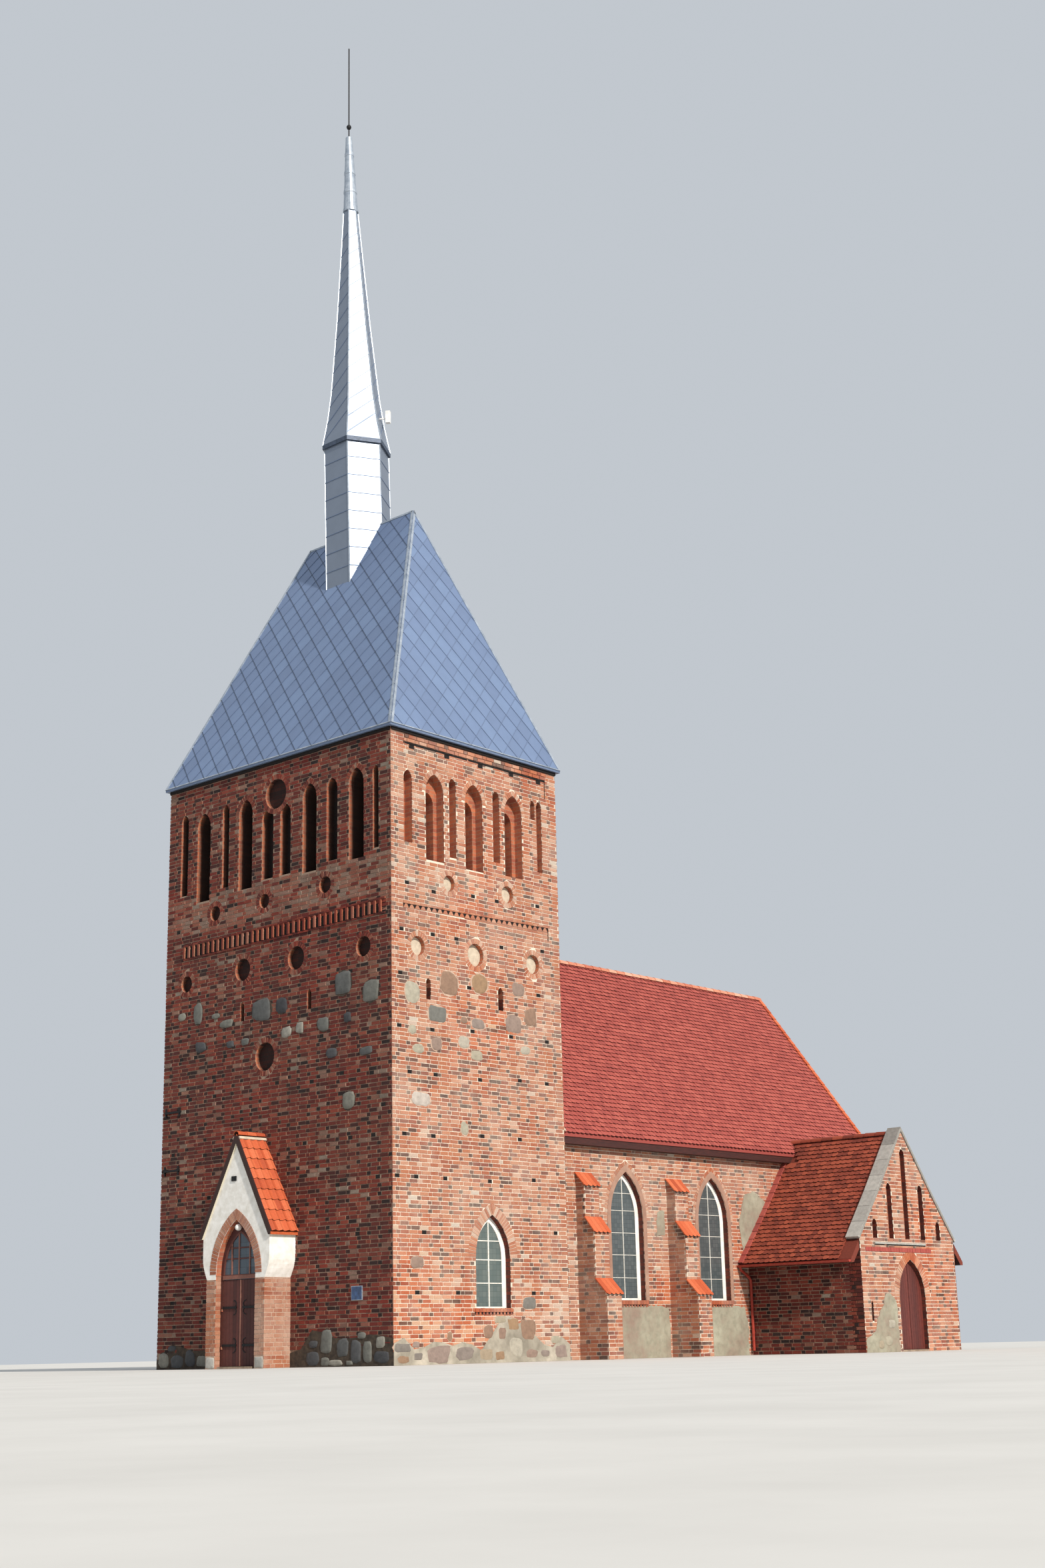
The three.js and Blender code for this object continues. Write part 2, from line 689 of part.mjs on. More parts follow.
// The wall's half of a hinge: a round seat under the leaf's knuckle, on an arm from the jamb
function pintle(x, y, z, arm) {
  return upright(KNUCKLE_RADIUS, x, y, z - KNUCKLE_HEIGHT, z).add(arm);
}

function porchPintle(side, z) {
  const jamb = PORCH_X + side * PORCH_DOOR_HALF;
  const reach = jamb + side * PINTLE_REACH;
  const arm = box(jamb, reach, porchHingeY - HINGE_ARM_HALF, porchDoorY + JOIN, z - KNUCKLE_HEIGHT, z);
  return pintle(jamb, porchHingeY, z, arm);
}

function porchFront() {
  const half = [...porchSide(), [0, PORCH_RIDGE_Z - porchDrop - SEAT]];
  const wall = prismY(bothSides(half, PORCH_X), porchFrontY, porchInnerY);
  const recess = doorArch(PORCH_X, { ...PORCH_RECESS, spring: PORCH_SPRING });
  const throat = doorArch(PORCH_X, { half: PORCH_DOOR_HALF, spring: PORCH_SPRING, apex: PORCH_ARCH_APEX });
  const open = cutAll(wall, [
    prismY(recess, porchFrontY - CUT_PAST, porchDoorY),
    prismY(throat, porchFrontY, porchInnerY + CUT_PAST),
  ]);
  return addAll(open, [-1, 1].flatMap((side) => PORCH_HINGES.map((z) => porchPintle(side, z))));
}

function porchSideWall(side) {
  const outline = [[porchInnerHalf, 0], ...porchSide(), [porchInnerHalf, porchWallTop]];
  return prismY(mirrored(outline, PORCH_X, side), porchInnerY, -TOWER_HALF_Y);
}

function porchRoof(side) {
  const outline = halfRoof(PORCH_RIDGE_Z, [[PORCH_EAVE_HALF, PORCH_EAVE_Z]], porchDrop, PORCH_ROOF_PLUMB);
  return prismY(mirrored(outline, PORCH_X, side), porchFrontY - PORCH_VERGE, -TOWER_HALF_Y);
}

function porchFloor() {
  const inside = box(PORCH_X - porchInnerHalf, PORCH_X + porchInnerHalf, porchInnerY, -TOWER_HALF_Y, 0, SILL_HEIGHT);
  const west = PORCH_X - PORCH_DOOR_HALF;
  const east = PORCH_X + PORCH_DOOR_HALF;
  return inside.add(box(west, east, porchFrontY, porchInnerY + JOIN, 0, SILL_HEIGHT));
}

// One of a pair of porch doors, hung on its outer face
function porchDoor(side) {
  const leaf = box(
    PORCH_X + side * DOOR_GAP,
    PORCH_X + side * (PORCH_DOOR_HALF - DOOR_GAP),
    porchDoorY,
    porchDoorY + DOOR_THICK,
    SILL_HEIGHT + DOOR_GAP,
    PORCH_DOOR_TOP - DOOR_GAP,
  );
  const axisX = PORCH_X + side * PORCH_DOOR_HALF;
  const strapX = PORCH_X + side * STRAP_END;
  return addAll(leaf, PORCH_HINGES.flatMap((z) => {
    const low = z + SEAT;
    const high = z + KNUCKLE_HEIGHT;
    const strap = box(axisX, strapX, porchHingeY, porchDoorY + JOIN, low + STRAP_INSET, high - STRAP_INSET);
    return [upright(KNUCKLE_RADIUS, axisX, porchHingeY, low, high), strap];
  }));
}

function porchFanlight() {
  const half = PORCH_DOOR_HALF - SEAT;
  const transom = box(
    PORCH_X - half,
    PORCH_X + half,
    porchDoorY - TRANSOM_OUT,
    porchDoorY + TRANSOM_BACK,
    PORCH_DOOR_TOP,
    PORCH_TRANSOM_TOP,
  );
  const edge = pointedArch(PORCH_X, half, PORCH_TRANSOM_TOP - JOIN, PORCH_SPRING, PORCH_ARCH_APEX - SEAT);
  const paneY = porchDoorY + FANLIGHT_SET_BACK;
  return transom.add(prismY(edge, paneY, paneY + PANE_THICK));
}

function porchLamp() {
  const globe = new THREE.SphereGeometry(LAMP.radius, LAMP.across, LAMP.rings);
  globe.translate(PORCH_X, porchDoorY - LAMP.out, LAMP.z);
  const stem = new THREE.CylinderGeometry(LAMP.stem, LAMP.stem, LAMP.stemLength, LAMP.across);
  stem.translate(PORCH_X, porchDoorY - LAMP.stemLength / 2 - SEAT, LAMP.stemZ);
  return solid(globe).add(solid(stem));
}

// Nave: two long walls with buttresses, an east gable and a steep tiled roof
const naveWallInner = NAVE_HALF_X - NAVE_WALL;
const naveEndInner = NAVE_END_Y - NAVE_WALL;
const navePitch = (NAVE_RIDGE_Z - NAVE_EAVE_Z) / NAVE_EAVE_X;
const naveDrop = NAVE_ROOF_THICK * Math.hypot(1, navePitch);
const naveWallTop = NAVE_RIDGE_Z - naveDrop - navePitch * NAVE_HALF_X - SEAT;

// A stepped buttress, drawn from its outer foot up to its top
function buttress(side, y) {
  const root = NAVE_HALF_X - BUTTRESS_ROOT;
  const steps = [...BUTTRESS_STEPS].reverse();
  const outline = [[root, 0], [NAVE_HALF_X + steps[0][0], 0]];
  steps.forEach(([out, capTop, capFoot], i) => {
    const above = i + 1 < steps.length ? steps[i + 1][0] : 0;
    outline.push([NAVE_HALF_X + out, capFoot], [NAVE_HALF_X + above, capTop]);
  });
  outline.push([root, BUTTRESS_STEPS[0][1]]);
  return prismY(mirrored(outline, 0, side), y - BUTTRESS_HALF, y + BUTTRESS_HALF);
}

function naveSideWall(side, windows, buttresses, doorways) {
  const wall = box(side * naveWallInner, side * NAVE_HALF_X, TOWER_HALF_Y, naveEndInner, 0, naveWallTop);
  const through = NAVE_WALL + CUT_PAST;
  const cut = (edge, depth) => cutX(side, NAVE_HALF_X, edge, depth);
  return cutAll(addAll(wall, buttresses.map((y) => buttress(side, y))), [
    ...windows.map((y) => cut(windowEdge(y, WINDOW), WINDOW_REVEAL)),
    ...windows.map((y) => cut(glazingEdge(y, WINDOW, 0), through)),
    ...doorways.map((edge) => cut(edge, through)),
  ]);
}

function naveEastWall() {
  const half = [[NAVE_HALF_X, 0], [NAVE_HALF_X, naveWallTop], [0, NAVE_RIDGE_Z - naveDrop - SEAT]];
  return cutAll(prismY(bothSides(half, 0), naveEndInner, NAVE_END_Y), [
    cutY(1, NAVE_END_Y, windowEdge(0, WINDOW), WINDOW_REVEAL),
    cutY(1, NAVE_END_Y, glazingEdge(0, WINDOW, 0), NAVE_WALL + CUT_PAST),
    ...EAST_NICHES.map((niche) => cutY(1, NAVE_END_Y, nicheArch(niche), EAST_NICHE_DEPTH)),
  ]);
}

function naveFloor() {
  const hall = box(-naveWallInner, naveWallInner, TOWER_HALF_Y, naveEndInner, 0, FLOOR_TOP);
  const archY = TOWER_HALF_Y - TOWER_WALL;
  const south = CHAPEL_MID_Y - CHAPEL_DOORWAY.half;
  const north = CHAPEL_MID_Y + CHAPEL_DOORWAY.half;
  return addAll(hall, [
    box(-TOWER_ARCH.half, TOWER_ARCH.half, archY, TOWER_HALF_Y + JOIN, 0, FLOOR_TOP),
    box(naveWallInner - JOIN, NAVE_HALF_X, south, north, 0, FLOOR_TOP),
  ]);
}

function naveRoof(side) {
  const outline = halfRoof(NAVE_RIDGE_Z, [[NAVE_EAVE_X, NAVE_EAVE_Z]], naveDrop, NAVE_ROOF_PLUMB);
  return prismY(mirrored(outline, 0, side), TOWER_HALF_Y, NAVE_END_Y + NAVE_VERGE);
}

// Board that closes the foot of the nave's roof
function naveEaves(side, y0, y1) {
  const top = NAVE_EAVE_Z - NAVE_ROOF_PLUMB - SEAT;
  const outline = [
    [NAVE_HALF_X, top - EAVE_BOARD_HEIGHT],
    [NAVE_EAVE_X - EAVE_BOARD_INSET, top - EAVE_BOARD_HEIGHT],
    [NAVE_EAVE_X - EAVE_BOARD_INSET, top],
    [NAVE_HALF_X, top],
  ];
  return prismY(mirrored(outline, 0, side), y0, y1);
}

// Chapel: a gabled room whose ridge runs into the nave's roof
const chapelSlope = [[CHAPEL_KINK_OUT, CHAPEL_KINK_Z], [CHAPEL_EAVE_OUT, CHAPEL_EAVE_Z]];
const chapelPitch = (CHAPEL_RIDGE_Z - CHAPEL_KINK_Z) / CHAPEL_KINK_OUT;
const chapelFootPitch = (CHAPEL_KINK_Z - CHAPEL_EAVE_Z) / (CHAPEL_EAVE_OUT - CHAPEL_KINK_OUT);
const chapelDrop = CHAPEL_ROOF_THICK * Math.hypot(1, chapelPitch);
const chapelWallTop = CHAPEL_KINK_Z - chapelDrop - chapelFootPitch * (CHAPEL_HALF_Y - CHAPEL_KINK_OUT) - SEAT;
const chapelInner = CHAPEL_HALF_Y - CHAPEL_WALL;
const gableInnerX = CHAPEL_FACE_X - CHAPEL_GABLE_THICK;
const chapelDoorX = CHAPEL_FACE_X - CHAPEL_DOOR_RECESS;
const chapelHingeX = chapelDoorX - DOOR_THICK - HINGE_OUT;

// Everything under the chapel's roof, grown a little, which shapes the nave's eave boards
function underChapelRoof() {
  const slope = [...chapelSlope].reverse().map(([out, z]) => [out, z + 2 * SEAT]);
  const half = [[CHAPEL_EAVE_OUT, 0], ...slope, [0, CHAPEL_RIDGE_Z + 2 * SEAT]];
  return prismX(bothSides(half, CHAPEL_MID_Y), NAVE_HALF_X - CUT_PAST, CHAPEL_FACE_X);
}

// Half of the chapel's roof, which stops at the nave's roof and at the gable, and runs past the
// gable with its eave
function chapelRoof(side) {
  const outline = halfRoof(CHAPEL_RIDGE_Z, chapelSlope, chapelDrop, CHAPEL_ROOF_PLUMB);
  const naveOutline = halfRoof(
    NAVE_RIDGE_Z + 2 * SEAT,
    [[NAVE_EAVE_X + 2 * SEAT, NAVE_EAVE_Z]],
    naveDrop + 4 * SEAT,
    NAVE_ROOF_PLUMB + 2 * SEAT,
  );
  const gable = CHAPEL_HALF_Y + COPING_OUT + COPING_CLEAR;
  return cutAll(prismX(mirrored(outline, CHAPEL_MID_Y, side), NAVE_HALF_X, CHAPEL_FACE_X), [
    prismY(naveOutline, TOWER_HALF_Y, NAVE_END_Y),
    box(
      gableInnerX,
      CHAPEL_FACE_X + CUT_PAST,
      CHAPEL_MID_Y - gable,
      CHAPEL_MID_Y + gable,
      0,
      CHAPEL_RIDGE_Z + CUT_PAST,
    ),
  ]);
}

function chapelSideWall(side) {
  const near = CHAPEL_MID_Y + side * chapelInner;
  const far = CHAPEL_MID_Y + side * CHAPEL_HALF_Y;
  return box(NAVE_HALF_X, gableInnerX, near, far, 0, chapelWallTop);
}

// The gable's rake from the kneeler up to the peak
const gableRake = [
  [CHAPEL_HALF_Y, KNEELER_Z],
  [CHAPEL_KINK_OUT, CHAPEL_KINK_Z + GABLE_RISE],
  [0, CHAPEL_RIDGE_Z + GABLE_RISE],
];

function chapelPintle(side, z) {
  const axisY = CHAPEL_DOOR_Y + side * CHAPEL_DOOR_HALF;
  const arm = box(
    chapelHingeX - HINGE_ARM_HALF,
    chapelHingeX + HINGE_ARM_HALF,
    axisY,
    axisY + side * (CHAPEL_SWING_ROOM + JOIN),
    z - KNUCKLE_HEIGHT,
    z,
  );
  return pintle(chapelHingeX, axisY, z, arm);
}

function chapelGable() {
  const wall = prismX(bothSides([[CHAPEL_HALF_Y, 0], ...gableRake], CHAPEL_MID_Y), gableInnerX, CHAPEL_FACE_X);
  const stop = doorArch(CHAPEL_DOOR_Y, {
    half: CHAPEL_DOOR_HALF - CHAPEL_REBATE,
    spring: CHAPEL_DOOR_SPRING,
    apex: CHAPEL_DOOR_APEX - CHAPEL_REBATE,
  });
  const swing = CHAPEL_DOOR_HALF + CHAPEL_SWING_ROOM;
  const swingTop = CHAPEL_DOOR_APEX + CHAPEL_SWING_ROOM;
  const open = cutAll(wall, [
    prismX(stop, chapelDoorX - JOIN, CHAPEL_FACE_X + CUT_PAST),
    box(gableInnerX - CUT_PAST, chapelDoorX, CHAPEL_DOOR_Y - swing, CHAPEL_DOOR_Y + swing, -CUT_PAST, swingTop),
    ...CHAPEL_NICHES.map((niche) => cutX(1, CHAPEL_FACE_X, nicheArch(niche), CHAPEL_NICHE_DEPTH)),
    cutX(1, CHAPEL_FACE_X, nicheArch(CHAPEL_SLIT), CHAPEL_SLIT_DEPTH),
  ]);
  return addAll(open, [-1, 1].flatMap((side) => CHAPEL_HINGES.map((z) => chapelPintle(side, z))));
}

// One of a pair of chapel doors, hung on its inner face
function chapelDoor(side) {
  const outer = chapelDoorX - DOOR_GAP;
  const whole = prismX(pointedArch(
    CHAPEL_DOOR_Y,
    CHAPEL_DOOR_HALF - DOOR_GAP,
    SILL_HEIGHT + DOOR_GAP,
    CHAPEL_DOOR_SPRING,
    CHAPEL_DOOR_APEX - DOOR_GAP,
  ), outer - DOOR_THICK, outer);
  const near = CHAPEL_DOOR_Y + side * DOOR_GAP;
  const far = CHAPEL_DOOR_Y + side * CHAPEL_DOOR_HALF;
  const leaf = whole.intersect(box(outer - DOOR_THICK, outer, near, far, 0, CHAPEL_DOOR_APEX));
  const strapY = CHAPEL_DOOR_Y + side * STRAP_END;
  return addAll(leaf, CHAPEL_HINGES.flatMap((z) => {
    const low = z + SEAT;
    const high = z + KNUCKLE_HEIGHT;
    const strapX = outer - DOOR_THICK + JOIN;
    const strap = box(chapelHingeX, strapX, far, strapY, low + STRAP_INSET, high - STRAP_INSET);
    return [upright(KNUCKLE_RADIUS, chapelHingeX, far, low, high), strap];
  }));
}

// Pale slabs laid on the gable's two rakes, mitred at the peak
function chapelCoping() {
  const rise = COPING_THICK * Math.hypot(1, chapelPitch);
  const footPitch = (gableRake[1][1] - gableRake[0][1]) / (gableRake[0][0] - gableRake[1][0]);
  const foot = [CHAPEL_HALF_Y + COPING_OUT, KNEELER_Z - COPING_OUT * footPitch];
  const low = [foot, ...gableRake.slice(1)].map(([out, z]) => [out, z + SEAT]);
  const high = low.map(([out, z]) => [out, z + rise]).reverse();
  const [right, left] = [1, -1].map((side) => (
    prismX(mirrored([...low, ...high], CHAPEL_MID_Y, side), gableInnerX, CHAPEL_FACE_X + COPING_OUT)
  ));
  return right.add(left);
}

function chapelFloor() {
  const room = box(
    NAVE_HALF_X,
    gableInnerX,
    CHAPEL_MID_Y - chapelInner,
    CHAPEL_MID_Y + chapelInner,
    0,
    SILL_HEIGHT,
  );
  const half = CHAPEL_DOOR_HALF - CHAPEL_REBATE;
  const sill = box(gableInnerX - JOIN, CHAPEL_FACE_X, CHAPEL_DOOR_Y - half, CHAPEL_DOOR_Y + half, 0, SILL_HEIGHT);
  return room.add(sill);
}

// Red gutter on the chapel's west eave with its downpipe, which bends back to the wall
function chapelGutter() {
  const middleY = CHAPEL_MID_Y - CHAPEL_EAVE_OUT - GUTTER.radius - SEAT;
  const rimZ = CHAPEL_EAVE_Z - GUTTER.below;
  const bowl = (radius, rim) => {
    const points = [];
    for (let i = 0; i <= GUTTER.steps; i += 1) {
      const angle = Math.PI + (Math.PI * i) / GUTTER.steps;
      points.push([middleY + radius * Math.cos(angle), rimZ + radius * Math.sin(angle)]);
    }
    points.push([middleY + radius, rimZ + rim], [middleY - radius, rimZ + rim]);
    return points;
  };
  const trough = prismX(bowl(GUTTER.radius, JOIN), NAVE_HALF_X + SEAT, CHAPEL_FACE_X).subtract(prismX(
    bowl(GUTTER.radius * GUTTER.hollow, GUTTER.open),
    NAVE_HALF_X + GUTTER.closedNear,
    CHAPEL_FACE_X - GUTTER.closedFar,
  ));
  const wallY = CHAPEL_MID_Y - CHAPEL_HALF_Y;
  const pipeY = wallY - PIPE.off;
  const bottomZ = rimZ - GUTTER.radius;
  const curve = new THREE.CatmullRomCurve3([
    new THREE.Vector3(PIPE.x, middleY, bottomZ + PIPE.root),
    new THREE.Vector3(PIPE.x, middleY, bottomZ - PIPE.drop),
    new THREE.Vector3(PIPE.x, pipeY, bottomZ - PIPE.bend),
    new THREE.Vector3(PIPE.x, pipeY, PIPE.foot),
  ], false, 'catmullrom', PIPE_TENSION);
  const ring = [];
  for (let i = 0; i < PIPE.sides; i += 1) {
    const angle = (2 * Math.PI * i) / PIPE.sides;
    ring.push(new THREE.Vector2(PIPE.radius * Math.cos(angle), PIPE.radius * Math.sin(angle)));
  }
  const pipe = new THREE.ExtrudeGeometry(new THREE.Shape(ring), { steps: PIPE.steps, extrudePath: curve });
  const { half, height } = PIPE_HOLDER;
  const holders = PIPE_HOLDERS.map((z) => box(PIPE.x - half, PIPE.x + half, pipeY, wallY - SEAT, z, z + height));
  return addAll(trough, [solid(pipe), ...holders]);
}

piece('tower_wall_west', towerWestWall(), SHADED_BRICK);
piece('tower_wall_east', towerEastWall(), SUNLIT_BRICK);
piece('tower_wall_south', towerSideWall(1), SUNLIT_BRICK);
piece('tower_wall_north', towerSideWall(-1), SHADED_BRICK);
piece('tower_floor', towerFloor(), PAVING);
piece('tower_roof', towerRoof(), METAL_SHEET);
const towerGlazing = glazingEdge(TOWER_WINDOW.middle, TOWER_WINDOW, SEAT);
piece('tower_window_south', paneX(1, TOWER_HALF_X, towerGlazing), PANE);
piece('tower_window_north', paneX(-1, TOWER_HALF_X, towerGlazing), PANE);
piece('wall_plaque', wallPlaque(), OLD_WOOD);

piece('spire_shaft', spireShaft(), METAL_SHEET);
piece('spire_roof', spireRoof(), METAL_SHEET);
piece('spire_cap', spireCap(), METAL_SHEET);
piece('spire_finial', spireFinial(), DARK_METAL);
piece('mast_box', mastBox(), WHITE_COVER);

piece('porch_wall_front', porchFront(), PLASTER);
piece('porch_wall_south', porchSideWall(1), PLASTER);
piece('porch_wall_north', porchSideWall(-1), PLASTER);
piece('porch_roof_south', porchRoof(1), ORANGE_TILE);
piece('porch_roof_north', porchRoof(-1), ORANGE_TILE);
piece('porch_floor', porchFloor(), PAVING);
piece('porch_door_south', porchDoor(1), OLD_WOOD);
piece('porch_door_north', porchDoor(-1), OLD_WOOD);
piece('porch_fanlight', porchFanlight(), PANE);
piece('porch_lamp', porchLamp(), WHITE_COVER);

const chapelDoorway = doorArch(CHAPEL_MID_Y, CHAPEL_DOORWAY);
piece('nave_wall_south', naveSideWall(1, SOUTH_WINDOWS, SOUTH_BUTTRESSES, [chapelDoorway]), SUNLIT_BRICK);
piece('nave_wall_north', naveSideWall(-1, NORTH_WINDOWS, NORTH_BUTTRESSES, []), SHADED_BRICK);
piece('nave_wall_east', naveEastWall(), SUNLIT_BRICK);
piece('nave_floor', naveFloor(), PAVING);
piece('nave_roof_south', naveRoof(1), RED_TILE);
piece('nave_roof_north', naveRoof(-1), RED_TILE);
const chapelBody = underChapelRoof();
piece('nave_eaves_north', naveEaves(-1, TOWER_HALF_Y, NAVE_END_Y), OLD_WOOD);
piece('nave_eaves_south_west', naveEaves(1, TOWER_HALF_Y, CHAPEL_MID_Y).subtract(chapelBody), OLD_WOOD);
piece('nave_eaves_south_east', naveEaves(1, CHAPEL_MID_Y, NAVE_END_Y).subtract(chapelBody), OLD_WOOD);
for (const [face, side, windows] of [['south', 1, SOUTH_WINDOWS], ['north', -1, NORTH_WINDOWS]]) {
  windows.forEach((y, i) => {
    piece(`nave_window_${face}_${i + 1}`, paneX(side, NAVE_HALF_X, glazingEdge(y, WINDOW, SEAT)), PANE);
  });
}
const eastPaneY = NAVE_END_Y - WINDOW_REVEAL;
piece('nave_window_east', prismY(glazingEdge(0, WINDOW, SEAT), eastPaneY - PANE_THICK, eastPaneY), PANE);

piece('chapel_wall_west', chapelSideWall(-1), SHADED_BRICK);
piece('chapel_wall_east', chapelSideWall(1), SUNLIT_BRICK);
piece('chapel_gable', chapelGable(), SUNLIT_BRICK);
piece('chapel_coping', chapelCoping(), STONE);
piece('chapel_roof_west', chapelRoof(-1), ORANGE_TILE);
piece('chapel_roof_east', chapelRoof(1), ORANGE_TILE);
piece('chapel_door_west', chapelDoor(-1), DOOR_RED);
piece('chapel_door_east', chapelDoor(1), DOOR_RED);
piece('chapel_floor', chapelFloor(), PAVING);
piece('chapel_gutter', chapelGutter(), RED_PAINT);

export default group;
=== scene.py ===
"""Looks of a brick village church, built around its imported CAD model. Metres, +Z up."""

import math
import random

import bpy
from mathutils import Matrix, Vector


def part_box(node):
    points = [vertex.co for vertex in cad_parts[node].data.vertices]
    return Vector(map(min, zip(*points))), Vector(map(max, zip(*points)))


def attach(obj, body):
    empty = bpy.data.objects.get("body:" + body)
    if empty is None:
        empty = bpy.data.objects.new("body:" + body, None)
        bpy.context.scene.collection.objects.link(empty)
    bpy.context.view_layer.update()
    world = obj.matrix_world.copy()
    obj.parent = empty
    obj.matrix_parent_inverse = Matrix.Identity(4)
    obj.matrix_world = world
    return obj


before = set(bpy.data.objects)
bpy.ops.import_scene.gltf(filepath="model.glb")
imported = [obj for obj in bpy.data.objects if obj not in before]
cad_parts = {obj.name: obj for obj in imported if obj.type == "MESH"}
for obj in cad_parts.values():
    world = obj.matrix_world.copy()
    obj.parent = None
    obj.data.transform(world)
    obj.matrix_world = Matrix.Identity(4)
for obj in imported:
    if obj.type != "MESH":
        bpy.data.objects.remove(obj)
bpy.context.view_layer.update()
draw = random.Random(11)

# Brickwork: a course with its joint, stretchers and headers with theirs, and rings of bricks round openings
COURSE = 0.1
STRETCHER = 0.29
HEADER = 0.145
JOINT = 0.02
BOND = STRETCHER * 2 + HEADER
RING = 0.13
WINDOW_RING = 0.26
RING_BRICK = 0.083
RING_GAP = JOINT * 0.3
# How far laid pieces stand out of a wall, how deep they are bedded, and half of the gap between them
BRICK_PROUD = 0.009
BRICK_SINK = 0.006
BED_SINK = 0.004
GAP = 0.004
# How unevenly the bricks' faces stand, on the sunlit and on the shaded walls, and on friezes
SMOOTH_TILT = 0.0025
ROUGH_TILT = 0.006
FRIEZE_TILT = 0.003
# Mortar round stones, shadow gaps and plaster cover more and more of the bricks' faces
COLLAR_PROUD = 0.0105
SHADOW_PROUD = 0.0125
PATCH_PROUD = 0.0145
# The tone of pieces that don't differ from one to the next
EVEN = 0.5

# Sizes that the building's source gives to openings and niches: middle, half width, bottom, top
ARCH_SHARE = 1.5
LONG_OPENINGS = [
    (-2.89, 0.275, 12.15, 14.62), (-1.16, 0.275, 12.21, 14.67),
    (1.36, 0.27, 12.25, 14.62), (3.11, 0.275, 12.26, 14.68),
]
LONG_NICHES = [
    (-3.71, 0.155, 12.43, 14.71), (-1.98, 0.14, 12.36, 14.69), (-0.27, 0.225, 12.34, 14.28),
    (0.43, 0.205, 12.34, 14.26), (2.21, 0.205, 12.4, 14.6), (3.815, 0.105, 12.45, 14.6),
]
LONG_ROUNDELS = [
    (0.04, 14.59, 0.41), (-2.36, 11.74, 0.205), (-0.375, 11.76, 0.195), (1.96, 11.81, 0.22),
    (-3.5, 9.97, 0.225), (-1.2, 10.05, 0.3), (0.88, 10.07, 0.31), (3.36, 10.01, 0.26), (-0.28, 7.67, 0.37),
]
LONG_SLITS = [(-1.195, 0.08, 8.66, 9.2), (1.39, 0.08, 8.69, 9.21)]
SHORT_DOUBLE_NICHES = [
    (-1.58, 0.33, 12.25, 14.54), (-0.12, 0.335, 12.23, 14.55), (1.405, 0.345, 12.27, 14.53),
]
SHORT_NICHES = [
    (-2.55, 0.15, 12.56, 14.48), (-0.92, 0.13, 12.44, 14.56), (0.735, 0.13, 12.58, 14.54),
    (2.445, 0.105, 12.56, 14.56), (2.19, 0.09, 14.01, 14.56),
]
SHORT_ROUNDELS = [
    (-1.085, 11.75, 0.21), (1.12, 11.79, 0.23), (-2.23, 9.99, 0.25), (-0.135, 10.02, 0.3),
    (2.065, 10.05, 0.26),
]
SHORT_SLITS = [(-1.87, 0.08, 8.69, 9.23), (0.78, 0.095, 8.69, 9.29)]
ROUNDEL_DEPTH = 0.13
WINDOW_REVEAL = 0.165
WINDOW_FRAME = 0.15
SILL_LIP = 0.06
# Half width, sill, spring and top, after the middle where there is one
TOWER_WINDOW = (0.32, 0.63, 1.27, 2.5, 3.54)
NAVE_WINDOW = (0.69, 1.5, 3.7, 4.89)
SOUTH_WINDOWS = (6.08, 9.96)
NORTH_WINDOWS = (6.08, 9.96, 13.84)
SOUTH_BUTTRESSES = (4.26, 8.14)
NORTH_BUTTRESSES = (4.26, 8.14, 12.02, 15.9)
BUTTRESS_HALF = 0.285
# Each step of a buttress: how far it stands out, and the top and the foot of its cap
BUTTRESS_STEPS = ((0.3, 4.77, 4.41), (0.6, 3.6, 3.2), (0.96, 2.02, 1.62))
BUTTRESS_TOP = BUTTRESS_STEPS[0][1]
BUTTRESS_REACH = BUTTRESS_STEPS[-1][0]
EAST_NICHES = [(u, 0.17, 6.5, top) for u, top in (
    (-1.9, 8.0), (-0.95, 9.2), (0.0, 10.2), (0.95, 9.2), (1.9, 8.0),
)]

# Places taken from the CAD solids
tower_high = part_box("tower_wall_south")[1]
TOWER_HALF_X = tower_high.x
TOWER_HALF_Y = -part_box("tower_wall_west")[0].y
TOWER_TOP = tower_high.z
roof_low, roof_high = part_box("tower_roof")
NAVE_HALF_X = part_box("chapel_roof_west")[0].x
NAVE_START_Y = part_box("nave_wall_south")[0].y
NAVE_END_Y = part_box("nave_wall_east")[1].y
NAVE_EAVE_X, NAVE_VERGE_Y, NAVE_RIDGE_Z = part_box("nave_roof_south")[1]
NAVE_EAVE_Z = 5.75
NAVE_PITCH = (NAVE_RIDGE_Z - NAVE_EAVE_Z) / NAVE_EAVE_X
EAVE_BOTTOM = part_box("nave_eaves_north")[0].z
gable_low, gable_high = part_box("chapel_gable")
CHAPEL_FACE_X = gable_high.x
CHAPEL_GABLE_X = gable_low.x
CHAPEL_MID_Y = (gable_low.y + gable_high.y) / 2
CHAPEL_HALF_Y = (gable_high.y - gable_low.y) / 2
CHAPEL_WALL_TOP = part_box("chapel_wall_west")[1].z
CHAPEL_RIDGE_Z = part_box("chapel_roof_west")[1].z
CHAPEL_KINK_OUT = 1.45
CHAPEL_KINK_Z = 4.29
CHAPEL_EAVE_OUT = 3.0
CHAPEL_EAVE_Z = 2.5
GABLE_RISE = 0.065
KNEELER_Z = 3.1
CHAPEL_NICHES = [(CHAPEL_MID_Y + aside, half, 3.08, top) for aside, half, top in (
    (-1.7, 0.12, 3.64), (-0.85, 0.13, 4.65), (0.0, 0.13, 5.65), (0.85, 0.13, 4.65), (1.7, 0.12, 3.64),
)]
CHAPEL_SLIT = (12.02, 0.05, 0.84, 1.39)
CHAPEL_DOOR = (14.16, 0.695, 1.5, 2.52)
CHAPEL_LEAF_ARCH = (14.16, 0.719, 0.056, 2.544, 1.5)
porch_low, porch_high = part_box("porch_wall_front")
PORCH_X = (porch_low.x + porch_high.x) / 2
PORCH_FRONT_Y = porch_low.y
PORCH_BRICK_HALF = 1.08
PORCH_BRICK_TOP = 2.13
